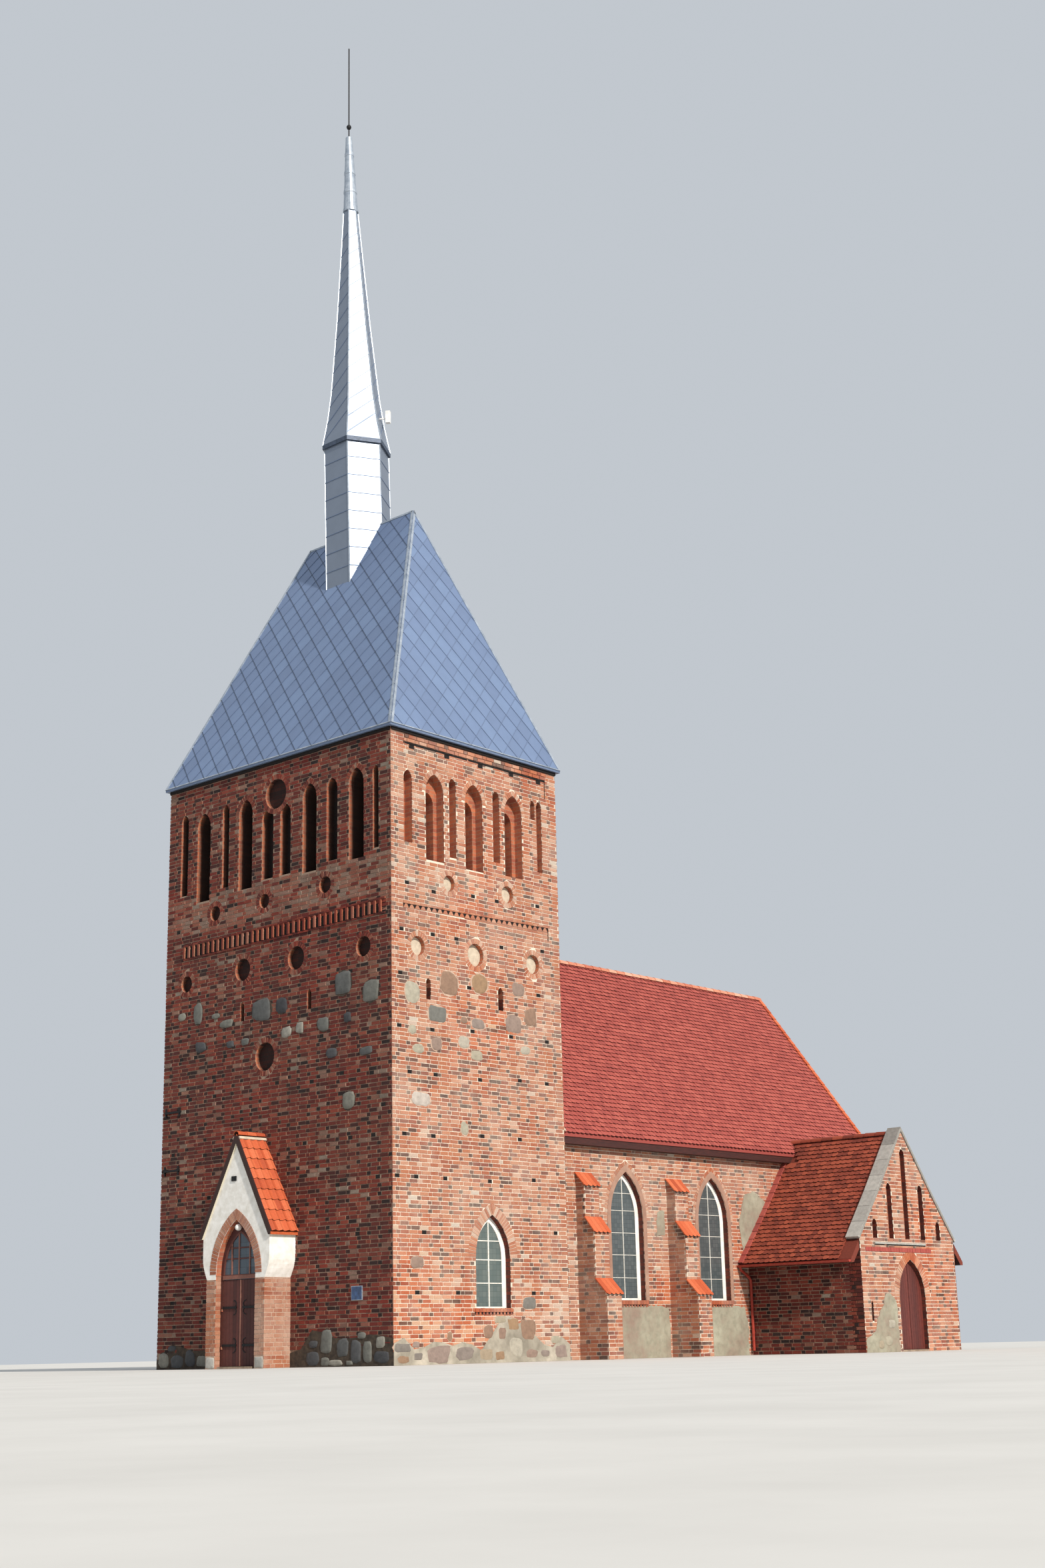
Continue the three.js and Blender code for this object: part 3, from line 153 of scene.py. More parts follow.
# Half width, spring and top
PORCH_RECESS = (0.74, 2.25, 3.56)
PORCH_DOOR = (0.65, 2.25, 3.3)
PORCH_DOOR_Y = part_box("porch_fanlight")[0].y + 0.02
PORCH_VERGE_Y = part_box("porch_roof_south")[0].y
PORCH_RIDGE_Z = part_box("porch_roof_south")[1].z
PORCH_EAVE_HALF = 1.335
PORCH_EAVE_Z = 3.2


def srgb(text):
    """A colour written as six hex digits, as linear red, green, blue and alpha."""
    values = [int(text[i:i + 2], 16) / 255 for i in (0, 2, 4)]
    return tuple(v / 12.92 if v <= 0.04045 else ((v + 0.055) / 1.055) ** 2.4 for v in values) + (1.0,)


class Plane:
    """A flat face: u runs along it, v up it, and out away from the building."""

    def __init__(self, origin, along, up, side=1):
        self.origin = Vector(origin)
        self.along = Vector(along).normalized()
        self.up = Vector(up).normalized()
        self.side = side
        self.normal = self.along.cross(self.up) * side

    def at(self, u, v, out):
        return self.origin + self.along * u + self.up * v + self.normal * out


ALONG_X = (1, 0, 0)
ALONG_Y = (0, 1, 0)


def face_x(x, side=1):
    """An upright face with its u along y, which looks to +x for a side of 1."""
    return Plane((x, 0, 0), ALONG_Y, (0, 0, 1), side)


def face_y(y, side=1):
    """An upright face with its u along x, which looks to -y for a side of 1."""
    return Plane((0, y, 0), ALONG_X, (0, 0, 1), side)


def slope(foot, head, along, side):
    """The sloping face from a point at its foot to one at its head, with the slope's length."""
    run = Vector([b - a for a, b in zip(foot, head)])
    return Plane(foot, along, run, side), run.length


class Pile:
    """Many small closed shapes gathered into one mesh, each with a tone from 0 to 1."""

    def __init__(self):
        self.points = []
        self.faces = []
        self.tones = []

    def add(self, points, faces, tone, flip=False):
        start = len(self.points)
        self.points += [tuple(point) for point in points]
        for face in faces:
            shifted = [start + i for i in face]
            self.faces.append(shifted[::-1] if flip else shifted)
        self.tones += [tone] * len(faces)

    def skin(self, rings, tone, flip=False):
        """A closed shape through rings of the same number of points."""
        n = len(rings[0])
        last = n * (len(rings) - 1)
        faces = [list(range(n - 1, -1, -1)), list(range(last, last + n))]
        for start in range(0, last, n):
            for i in range(n):
                j = (i + 1) % n
                faces.append([start + i, start + j, start + n + j, start + n + i])
        self.add([point for ring in rings for point in ring], faces, tone, flip)

    def prism(self, plane, outline, front, back=-BED_SINK, tone=EVEN):
        """A plate with an anticlockwise outline; front and back may be one height or one a point."""
        rings = []
        for outs in (back, front):
            heights = outs if isinstance(outs, list) else [outs] * len(outline)
            rings.append([plane.at(u, v, out) for (u, v), out in zip(outline, heights)])
        self.skin(rings, tone, plane.side < 0)

    def block(self, plane, u0, u1, v0, v1, front, back=-BED_SINK, tone=EVEN):
        self.prism(plane, [(u0, v0), (u1, v0), (u1, v1), (u0, v1)], front, back, tone)

    def band(self, plane, outer, inner, front, back=-BED_SINK, tone=EVEN):
        """A flat ring between two outlines that have the same number of points."""
        n = len(outer)
        points = [plane.at(u, v, out) for out in (front, back) for u, v in outer + inner]
        faces = []
        for i in range(n):
            j = (i + 1) % n
            faces += [[i, j, n + j, n + i], [2 * n + j, 2 * n + i, 3 * n + i, 3 * n + j],
                      [j, i, 2 * n + i, 2 * n + j], [n + i, n + j, 3 * n + j, 3 * n + i]]
        self.add(points, faces, tone, plane.side < 0)

    def bar(self, start, end, normal, width, height, sink):
        """A flat bar from start to end that lies on a surface with that normal."""
        start, end = Vector(start), Vector(end)
        plane = Plane(start, end - start, Vector(normal).cross(end - start))
        self.block(plane, 0, (end - start).length, -width / 2, width / 2, height, -sink)

    def build(self, name, look, body="building", smooth=False, slot=None):
        """Makes the piece with its look; the slot argument is not used."""
        mesh = bpy.data.meshes.new(name)
        mesh.from_pydata(self.points, [], self.faces)
        tone = mesh.attributes.new("tone", "FLOAT", "FACE")
        tone.data.foreach_set("value", self.tones)
        mesh.materials.append(looks[look])
        if smooth:
            mesh.shade_smooth()
        mesh.validate()
        piece = bpy.data.objects.new(name, mesh)
        bpy.context.scene.collection.objects.link(piece)
        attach(piece, body)


# Outlines, and cuts in a wall's bricks


def arch_radius(half, rise):
    return (half * half + rise * rise) / (2 * half)


def arch_outline(middle, half, bottom, spring, top, steps=8):
    """A pointed arch over straight jambs, anticlockwise from the lower left corner."""
    radius = arch_radius(half, top - spring)
    sweep = math.asin((top - spring) / radius)
    angles = [sweep * i / steps for i in range(steps)]
    right = [(half - radius * (1 - math.cos(angle)), spring + radius * math.sin(angle)) for angle in angles]
    return ([(middle - half, bottom), (middle + half, bottom)] + [(middle + out, v) for out, v in right]
            + [(middle, top)] + [(middle - out, v) for out, v in reversed(right)])


def circle_outline(middle, height, radius, steps=24):
    angles = [2 * math.pi * (i + 0.5) / steps for i in range(steps)]
    return [(middle + radius * math.cos(a), height + radius * math.sin(a)) for a in angles]


def even_cut(middle, lower, upper):
    """Both edges of a cut at the foot and at the head of a course."""
    return (middle - lower, middle - upper, middle + lower, middle + upper)


class RingedCut:
    """A cut with a ring of bricks; a subclass gives its radius, ring, sweep, sides and points."""

    def lay_ring(self, pile, plane, tones, tilt):
        count = max(3, round(self.sweep * (self.radius + self.ring / 2) / RING_BRICK))
        gap = RING_GAP / self.radius
        for side in self.sides:
            for i in range(count):
                low, high = self.sweep * i / count + gap, self.sweep * (i + 1) / count - gap
                corners = [self.ring_point(side, self.radius + reach, angle)
                           for reach, angle in ((0, low), (self.ring, low), (self.ring, high), (0, high))]
                lay_piece(pile, plane, corners[::side], BRICK_PROUD, tilt, tones)


class ArchCut(RingedCut):
    """A pointed opening."""
    sides = (-1, 1)

    def __init__(self, middle, half, bottom, top, spring=None, ring=0.0):
        self.middle = middle
        self.half = half
        self.bottom = bottom
        self.spring = top - ARCH_SHARE * half if spring is None else spring
        self.radius = arch_radius(half, top - self.spring)
        self.ring = ring
        self.centre = self.radius - half
        self.crown = self.spring + math.sqrt((self.radius + ring) ** 2 - self.centre ** 2)
        self.sweep = math.acos(self.centre / (self.radius + ring))

    def half_at(self, v):
        reach = (self.radius + self.ring) ** 2 - (min(v, self.crown) - self.spring) ** 2
        return max(0.0, math.sqrt(max(reach, 0)) - self.centre)

    def crown_at(self, aside):
        """The height of the opening's head at a distance from its middle."""
        return self.spring + math.sqrt(max(0.0, self.radius ** 2 - (abs(aside) + self.centre) ** 2))

    def span(self, low, high):
        middle = (low + high) / 2
        if middle < self.bottom or middle > self.crown:
            return None
        if middle < self.spring:
            return even_cut(self.middle, self.half, self.half)
        return even_cut(self.middle, self.half_at(max(low, self.spring)), self.half_at(high))

    def ring_point(self, side, radius, angle):
        out = radius * math.cos(angle) - self.centre
        return self.middle + side * max(out, GAP), self.spring + radius * math.sin(angle)


class RoundCut(RingedCut):
    """A round hollow."""
    sides = (1,)
    sweep = 2 * math.pi

    def __init__(self, middle, height, radius, ring=0.0):
        self.middle = middle
        self.height = height
        self.radius = radius
        self.ring = ring

    def half_at(self, v):
        return math.sqrt(max(0.0, (self.radius + self.ring) ** 2 - (v - self.height) ** 2))

    def span(self, low, high):
        lower, upper = self.half_at(low), self.half_at(high)
        return even_cut(self.middle, lower, upper) if lower or upper else None

    def ring_point(self, side, radius, angle):
        return self.middle + side * radius * math.cos(angle), self.height + radius * math.sin(angle)


class BoxCut:
    """An oblong left free of bricks."""
    ring = 0.0

    def __init__(self, u0, u1, v0, v1):
        self.u0, self.u1, self.v0, self.v1 = u0, u1, v0, v1

    def span(self, low, high):
        return (self.u0, self.u0, self.u1, self.u1) if self.v0 < (low + high) / 2 < self.v1 else None


class GableCut:
    """What a pitched roof against the wall covers."""
    ring = 0.0

    def __init__(self, middle, half, eave, ridge):
        self.middle, self.half, self.eave, self.ridge = middle, half, eave, ridge

    def half_at(self, v):
        return self.half * min(1.0, max(0.0, (self.ridge - v) / (self.ridge - self.eave)))

    def span(self, low, high):
        return even_cut(self.middle, self.half_at(low), self.half_at(high)) if low < self.ridge else None


# Laid bricks: how far their corners and their faces are out of true, and how far courses are shifted
BRICK_JITTER = 0.003
ROW_SHIFT = 0.02
# The least share of a course that is laid, and the least widths of a cut brick: its wider edge, both, and one
LEAST_COURSE = 0.2
LEAST_WIDTH = 0.045
LEAST_WIDTHS = 0.06
LEAST_EDGE = 0.004
# Headers are often burnt dark, and stretchers seldom; the other bricks' tones gather round a mean
DARK_HEADERS = 0.5
DARK_STRETCHERS = 0.06
DARK_TONES = (0.02, 0.27)
LEAST_TONE = 0.2
MEAN_TONE = 0.58
TONE_SPREAD = 0.16


def uneven(proud, tilt):
    """Heights of a brick's four corners."""
    base = proud + draw.uniform(-BRICK_JITTER, BRICK_JITTER)
    return [base + draw.uniform(-tilt, tilt) for _ in range(4)]


def lay_piece(pile, plane, outline, proud, tilt, tones):
    """A brick with an uneven face and a tone from a range."""
    pile.prism(plane, outline, uneven(proud, tilt), -BRICK_SINK, draw.uniform(*tones))


def lay_oblong(pile, plane, u0, u1, v0, v1, proud, tilt, tones):
    lay_piece(pile, plane, [(u0, v0), (u1, v0), (u1, v1), (u0, v1)], proud, tilt, tones)


def brick_tone(u, v, header):
    if draw.random() < (DARK_HEADERS if header else DARK_STRETCHERS):
        return draw.uniform(*DARK_TONES)
    return min(1.0, max(LEAST_TONE, draw.gauss(MEAN_TONE, TONE_SPREAD)))


def lay_courses(pile, plane, bottom, top, edges, cuts=(), tone=brick_tone, proud=BRICK_PROUD,
                tilt=SMOOTH_TILT):
    """Rising courses of two stretchers and a header, between the wall's edges and beside the cuts."""
    for row in range(math.ceil((top - bottom) / COURSE - LEAST_COURSE)):
        low = bottom + row * COURSE
        high = min(low + COURSE, top)
        left_low, right_low = edges(low)
        left_high, right_high = edges(high)
        spans = sorted(span for span in (cut.span(low, high) for cut in cuts) if span)
        stretches = []
        from_low, from_high = left_low, left_high
        for cut_left_low, cut_left_high, cut_right_low, cut_right_high in spans:
            stretches.append((from_low, from_high, cut_left_low, cut_left_high))
            from_low, from_high = max(from_low, cut_right_low), max(from_high, cut_right_high)
        stretches.append((from_low, from_high, right_low, right_high))
        shift = (row % 2) * BOND / 2 + draw.uniform(-ROW_SHIFT, ROW_SHIFT)
        u = math.floor((min(left_low, left_high) - shift) / BOND) * BOND + shift
        place = 0
        while u < max(right_low, right_high):
            header = place % 3 == 2
            length = HEADER if header else STRETCHER
            for stretch in stretches:
                lay_brick(pile, plane, (u, u + length, low, high), stretch, header, tone, proud, tilt)
            u += length
            place += 1


def lay_brick(pile, plane, place, stretch, header, tone, proud, tilt):
    """One brick, cut to the stretch of wall that it lies in."""
    u0, u1, low, high = place
    left_low, left_high, right_low, right_high = stretch
    joint = JOINT / 2
    lower = [max(u0 + joint, left_low), min(u1 - joint, right_low)]
    upper = [max(u0 + joint, left_high), min(u1 - joint, right_high)]
    widths = (lower[1] - lower[0], upper[1] - upper[0])
    if max(widths) < LEAST_WIDTH or sum(widths) < LEAST_WIDTHS:
        return
    for pair in (lower, upper):
        if pair[1] - pair[0] < LEAST_EDGE:
            middle = (pair[0] + pair[1]) / 2
            pair[:] = [middle - LEAST_EDGE / 2, middle + LEAST_EDGE / 2]
    jitter = [draw.uniform(-BRICK_JITTER, BRICK_JITTER) for _ in range(4)]
    outline = [
        (lower[0], low + joint + jitter[0]), (lower[1], low + joint + jitter[1]),
        (upper[1], high - joint + jitter[2]), (upper[0], high - joint + jitter[3]),
    ]
    shade = tone((u0 + u1) / 2, (low + high) / 2, header)
    pile.prism(plane, outline, uneven(proud, tilt), -BRICK_SINK, shade)


def straight(left, right):
    return lambda v: (left, right)


# Materials

# The mortar between laid bricks, two colours of brick and their mortar inside openings, and how much of its
# lightness the brickwork keeps at a depth inside them, which paints shade into the openings
SUNLIT = {"mortar": "E6D6C3", "inside": ("C0704C", "9A5541", "9C7F68"),
          "depth_shade": [(0.27, 1.0), (0.45, 0.8), (0.7, 0.25)]}
SHADED = {"mortar": "9A8270", "inside": ("74301F", "4A2019", "3C2E28"),
          "depth_shade": [(0.02, 1.0), (0.08, 0.4), (0.19, 0.08)]}
NICHES_FROM = 9.0
GRID_MORTAR = 0.007
PANE_LEAD = 0.003
# How far down a face looks before it counts as the underside of a roof
UNDERSIDE = -0.05
VERGE_CUT = 0.005


class Shader:
    """A node material around one Principled shader."""

    def __init__(self, name, roughness, metallic=0.0):
        self.material = bpy.data.materials.new(name)
        self.material.use_nodes = True
        self.tree = self.material.node_tree
        self.shader = self.tree.nodes["Principled BSDF"]
        self.shader.inputs["Roughness"].default_value = roughness
        self.shader.inputs["Metallic"].default_value = metallic

    def node(self, kind, inputs=(), **settings):
        """A new node with its settings, and its inputs by name or number."""
        node = self.tree.nodes.new("ShaderNode" + kind)
        for key, value in settings.items():
            setattr(node, key, value)
        for key, value in dict(inputs).items():
            self.feed(node.inputs[key], value)
        return node

    def feed(self, target, value):
        """Sets an input to a constant, or links it to an output."""
        if isinstance(value, bpy.types.NodeSocket):
            self.tree.links.new(value, target)
        else:
            target.default_value = srgb(value) if isinstance(value, str) else value

    def place(self):
        return self.node("TexCoord").outputs["Object"]

    def part(self, vector, letter):
        return self.node("SeparateXYZ", {0: vector}).outputs[letter]

    def axis(self, letter):
        return self.part(self.place(), letter)

    def facing(self, letter):
        """One part of the direction in which the surface looks."""
        return self.part(self.node("NewGeometry").outputs["Normal"], letter)

    def sunward(self):
        """1 on faces that look towards the sunny south side, else 0."""
        return self.math("GREATER_THAN", self.facing("X"), 0.5)

    def underside(self):
        return self.math("LESS_THAN", self.facing("Z"), UNDERSIDE)

    def tone(self):
        return self.node("Attribute", attribute_name="tone").outputs["Fac"]

    def noise(self, scale, detail=4.0, vector=None):
        inputs = {"Scale": scale, "Detail": detail, "Roughness": 0.6, "Vector": vector or self.place()}
        return self.node("TexNoise", inputs).outputs["Fac"]

    def ramp(self, factor, stops):
        node = self.node("ValToRGB", {"Fac": factor})
        band = node.color_ramp
        while len(band.elements) < len(stops):
            band.elements.new(0.5)
        for element, (position, colour) in zip(band.elements, stops):
            element.position = position
            element.color = srgb(colour) if isinstance(colour, str) else (colour, colour, colour, 1)
        return node.outputs["Color"]

    def mix(self, factor, a, b, blend="MIX"):
        return self.node("Mix", {0: factor, 6: a, 7: b}, data_type="RGBA", blend_type=blend).outputs[2]

    def math(self, operation, a, b=0.0):
        return self.node("Math", {0: a, 1: b}, operation=operation).outputs[0]

    def stretched(self, scale):
        return self.node("Mapping", {"Scale": scale, "Vector": self.place()}).outputs["Vector"]

    def grid(self, width, height, mortar_size, colours, offset):
        """Oblongs in rows on upright faces, in two colours with a third between them."""
        across = self.math("ADD", self.axis("X"), self.axis("Y"))
        lay = self.node("CombineXYZ", {"X": across, "Y": self.axis("Z")})
        inputs = {"Vector": lay.outputs[0], "Scale": 1.0, "Mortar Size": mortar_size, "Mortar Smooth": 0.1,
                  "Bias": 0.0, "Brick Width": width, "Row Height": height}
        inputs.update(zip(("Color1", "Color2", "Mortar"), colours))
        return self.node("TexBrick", inputs, offset=offset).outputs["Color"]

    def brickwork(self, colours):
        return self.grid(STRETCHER, COURSE, GRID_MORTAR, colours, 0.5)

    def finish(self, colour, height, distance=0.003, strength=0.6):
        """The material, with a colour and with bumps that a field gives their height."""
        bump = self.node("Bump", {"Distance": distance, "Strength": strength, "Height": height})
        self.feed(self.shader.inputs["Base Color"], colour)
        self.feed(self.shader.inputs["Normal"], bump.outputs["Normal"])
        return self.material


def brick_look(name, stops, stain, stain_share, sunward_stops, glow):
    """Bricks that differ from one to the next, with soot, lime and warmer patches, and with the faces that
    look towards the sun painted in sunlit colours.
    """
    shade = Shader(name, 0.92)
    tone = shade.tone()
    # Painted light: faces that look towards the sun take the sunlit stops
    colour = shade.mix(shade.sunward(), shade.ramp(tone, stops), shade.ramp(tone, sunward_stops))
    colour = shade.mix(0.55, colour, shade.ramp(shade.noise(38, 6), [(0.3, 0.45), (0.62, 1.0)]), "MULTIPLY")
    colour = shade.mix(shade.ramp(shade.noise(0.32, 3), [(0.44, 0.0), (0.62, 0.5)]), colour, glow, "OVERLAY")
    patch = shade.ramp(shade.noise(0.9, 5), [(0.42, 0.0), (0.72, stain_share)])
    return shade.finish(shade.mix(patch, colour, stain), shade.noise(85, 5), 0.004, 0.7)


def wall_look(name, sunlit, axis, plane, side):
    """Mortar on the face that carries laid bricks, and brickwork inside its openings, painted sunlit on faces
    towards the sun and in shade on the others, and painted darker with depth as shade.
    """
    shade = Shader(name, 0.95)
    own = SUNLIT if sunlit else SHADED
    depth = shade.math("MULTIPLY", shade.math("SUBTRACT", plane, shade.axis(axis)), side)
    grain = shade.ramp(shade.noise(24, 6), [(0.3, 0.5), (0.7, 1.0)])
    mortar = shade.mix(0.6, own["mortar"], grain, "MULTIPLY")
    lit = shade.sunward()
    on_face = shade.math("LESS_THAN", depth, GAP)
    if sunlit:
        # Inside the niches high on the tower the brickwork is painted sunlit, while in the windows' reveals
        # it is painted in shade
        lit = shade.math("MAXIMUM", lit, shade.math("GREATER_THAN", shade.axis("Z"), NICHES_FROM))
    else:
        # The outermost faces of the north buttresses carry no laid bricks
        laid = shade.math("GREATER_THAN", depth, 0.01 - BUTTRESS_REACH)
        on_face = shade.math("MULTIPLY", on_face, laid)
    # Painted light and shade: faces towards the sun take the sunlit brickwork, the others the shaded one
    inside = shade.mix(lit, shade.brickwork(SHADED["inside"]), shade.brickwork(SUNLIT["inside"]))
    inside = shade.mix(0.5, inside, grain, "MULTIPLY")
    # Painted shade: the brickwork darkens with its depth into the openings
    inside = shade.mix(1.0, inside, shade.ramp(depth, own["depth_shade"]), "MULTIPLY")
    return shade.finish(shade.mix(on_face, inside, mortar), shade.noise(60, 5), 0.004)


def grained_look(name, colours, roughness, metallic, scale, bump, stretch=None):
    """A surface of two colours in fine noise, for plaster, stone, paint, wood and metal."""
    shade = Shader(name, roughness, metallic)
    field = shade.noise(scale, 6, shade.stretched(stretch) if stretch else None)
    return shade.finish(shade.ramp(field, list(zip((0.34, 0.66), colours.split()))), field, bump)


def toned_look(name, colours, roughness, metallic, scale, bump, wash, underside_shade=None):
    """Pieces that differ from one to the next, such as tiles, stones and sheets, with faces that look down
    painted in a dark colour as shade where one is given.
    """
    shade = Shader(name, roughness, metallic)
    colours = colours.split()
    colour = shade.ramp(shade.tone(), [(i / (len(colours) - 1), colour) for i, colour in enumerate(colours)])
    field = shade.noise(scale, 6)
    colour = shade.mix(wash, colour, shade.ramp(field, [(0.3, 0.4), (0.65, 1.0)]), "MULTIPLY")
    # Painted shade: faces that look down take the dark underside colour
    if underside_shade:
        colour = shade.mix(shade.underside(), colour, underside_shade)
    return shade.finish(colour, field, bump)


def plaster_look(name, colours, stain):
    """Old plaster that has weathered in large patches, with stains."""
    shade = Shader(name, 0.95)
    colour = shade.ramp(shade.noise(1.1, 5), list(zip((0.3, 0.5, 0.7), colours.split())))
    stained = shade.ramp(shade.noise(6, 6), [(0.45, 0.0), (0.8, 0.6)])
    return shade.finish(shade.mix(stained, colour, stain), shade.noise(16, 6), 0.004)


def glass_look(name, colours, cell):
    """Old glass in small leaded panes, a little uneven from one pane to the next."""
    shade = Shader(name, 0.22)
    panes = shade.grid(cell, cell, PANE_LEAD, colours.split(), 0.0)
    return shade.finish(panes, shade.noise(7, 3), 0.002, 0.4)


def porch_front_look(name):
    """Lime plaster, with bare brick in the doorway's recess."""
    shade = Shader(name, 0.92)
    field = shade.noise(5, 6)
    white = shade.ramp(field, [(0.34, "D9D5CC"), (0.66, "F1EFEA")])
    aside = shade.math("ABSOLUTE", shade.math("SUBTRACT", shade.axis("X"), PORCH_X))
    near = shade.math("LESS_THAN", aside, PORCH_RECESS[0] + VERGE_CUT)
    behind = shade.math("GREATER_THAN", shade.axis("Y"), PORCH_FRONT_Y + GAP)
    recess = shade.math("MULTIPLY", near, behind)
    return shade.finish(shade.mix(recess, white, shade.brickwork(SUNLIT["inside"])), field, 0.003)


def porch_roof_look(name):
    """Tiles whose cut ends at the verge are painted dark as shade, over a pale lining."""
    shade = Shader(name, 0.85)
    field = shade.noise(22, 6)
    tile = shade.ramp(field, [(0.34, "A94A28"), (0.66, "C4602F")])
    # Painted shade: the tiles' cut ends at the verge are dark
    ends = shade.math("LESS_THAN", shade.axis("Y"), PORCH_VERGE_Y + VERGE_CUT)
    return shade.finish(shade.mix(shade.underside(), shade.mix(ends, tile, "33201B"), "CFC7B2"), field, 0.002)


# Whether a wall is sunlit, and the axis, place and side of its face
WALLS = {
    "tower_wall_south": (True, "X", TOWER_HALF_X, 1),
    "tower_wall_north": (False, "X", -TOWER_HALF_X, -1),
    "tower_wall_west": (False, "Y", -TOWER_HALF_Y, -1),
    "tower_wall_east": (False, "Y", TOWER_HALF_Y, 1),
    "nave_wall_south": (True, "X", NAVE_HALF_X, 1),
    "nave_wall_north": (False, "X", -NAVE_HALF_X, -1),
    "nave_wall_east": (False, "Y", NAVE_END_Y, 1),
    "chapel_gable": (True, "X", CHAPEL_FACE_X, 1),
    "chapel_wall_west": (False, "Y", CHAPEL_MID_Y - CHAPEL_HALF_Y, -1),
    "chapel_wall_east": (False, "Y", CHAPEL_MID_Y + CHAPEL_HALF_Y, 1),
}
# Colours of bricks from dark to pale
SUNLIT_STOPS = [(0.0, "54423B"), (0.2, "6F5045"), (0.32, "8A5243"), (0.5, "A26045"), (0.7, "B07557"),
                (0.86, "BC9079"), (1.0, "B9AC9E")]
SHADED_STOPS = [(0.0, "180B0A"), (0.18, "2E1512"), (0.35, "491A13"), (0.55, "69251A"), (0.75, "833B29"),
                (0.88, "8B604E"), (1.0, "85796C")]
# What each maker takes for its looks: for the grained and the toned ones that is colours from dark to pale,
# roughness, metallic, scale of the noise and height of the bumps
LOOKS = (
    (brick_look, {
        "brick_sunlit": (SUNLIT_STOPS, "C9B9A8", 0.30, SUNLIT_STOPS, "CC8E50"),
        "brick_shaded": (SHADED_STOPS, "2E1F1B", 0.45, SUNLIT_STOPS, "B4553A"),
        "brick_pier": (SUNLIT_STOPS, "C9B9A8", 0.45, SUNLIT_STOPS, "A58E84"),
    }),
    (grained_look, {
        "lime_plaster": ("D9D5CC F1EFEA", 0.9, 0.0, 5, 0.003),
        "sunlit_mortar": ("B3A693 CBBDA8", 0.95, 0.0, 9, 0.006),
        "shaded_mortar": ("2E261F 4C4034", 0.95, 0.0, 9, 0.006),
        "pier_mortar": ("A88C79 BFA591", 0.95, 0.0, 9, 0.004),
        "seam_dark": ("35404F 4A566A", 0.5, 0.3, 10, 0.001),
        "seam_soft": ("67768F 6E7F9B", 0.5, 0.3, 10, 0.001),
        "pale_metal": ("8E99A6 B3BCC6", 0.4, 0.4, 6, 0.001),
        "dark_iron": ("17171A 2C2B2C", 0.55, 0.6, 30, 0.001),
        # eave_wood is dark wood, painted darker still with the shade under the eaves
        "eave_wood": ("2C0F0B 451A13", 0.7, 0.0, 8, 0.002, (6, 0.6, 6)),
        "paving": ("7D6A5A A08C78", 0.9, 0.0, 7, 0.004),
        "red_paint": ("8E2D20 A83C2C", 0.45, 0.0, 10, 0.001),
        "white_cover": ("DCDBD6 F4F3EF", 0.35, 0.0, 8, 0.0005),
        "board_blue": ("26354F 45628F", 0.5, 0.0, 6, 0.0005),
        "white_bar": ("C9C5BA E9E6DE", 0.6, 0.0, 18, 0.001),
        "hole_dark": ("0C0808 1B1210", 1.0, 0.0, 20, 0.002),
        "floor": ("C9C7C2 D2D0CB", 0.9, 0.0, 0.6, 0.0),
    }),
    # Then how much the noise darkens a look, and the colour of its underside, painted as shade
    (toned_look, {
        "pink_stone": ("6F6E68 8E7D74 8B6F5D 977A5D A39D8B B8AEA4", 0.9, 0.0, 9, 0.012, 0.45),
        "grey_stone": ("36363A 4E4F51 686964 7E7C72 98948A", 0.9, 0.0, 9, 0.012, 0.55),
        "coping_stone": ("8F8C86 A8A59E BDBAB2", 0.9, 0.0, 10, 0.004, 0.45),
        "sheet_metal": ("7385A5 778AAB 7B8FB0", 0.48, 0.35, 2.5, 0.001, 0.12),
        "spire_metal": ("858F9E 8F99A8 9AA3B1", 0.39, 0.55, 3, 0.001, 0.12),
        "red_tile": ("95423A A34A40 AF564A", 0.85, 0.0, 26, 0.002, 0.3, "55201C"),
        "orange_tile": ("A94826 C0582F CE6C44", 0.8, 0.0, 22, 0.002, 0.3, "4A2418"),
        "chapel_tile": ("75301F 94412B A84F35", 0.85, 0.0, 22, 0.002, 0.4, "33140F"),
        "ridge_tile": ("BA6A52 CB8468 D8A58C", 0.85, 0.0, 16, 0.003, 0.35),
        "old_wood": ("3E1B17 4C221E 5C2D26 9A6A5A", 0.7, 0.0, 9, 0.002, 0.4),
        "door_red": ("54231D 6A2E25 7E3A2E", 0.6, 0.0, 9, 0.002, 0.5),
    }),
    (plaster_look, {
        "old_plaster": ("8A7668 96907E A7A491", "6E6C5C"),
        "pink_plaster": ("94705F A07C6A AA8B78", "7A6255"),
        "plinth_mortar": ("827B6E A1998A C0B6A6", "6B6658"),
    }),
    (glass_look, {
        "window_glass": ("485052 565C5D 353A3B", 0.11),
        "tower_glass": ("535F5D 626B67 434B49", 0.13),
        "fanlight_glass": ("39444E 4C5963 23282D", 0.3),
    }),
    (porch_front_look, {"porch_front": ()}),
    (porch_roof_look, {"porch_verge": ()}),
    (wall_look, {"look_" + name: values for name, values in WALLS.items()}),
)
looks = {name: maker(name, *values) for maker, table in LOOKS for name, values in table.items()}

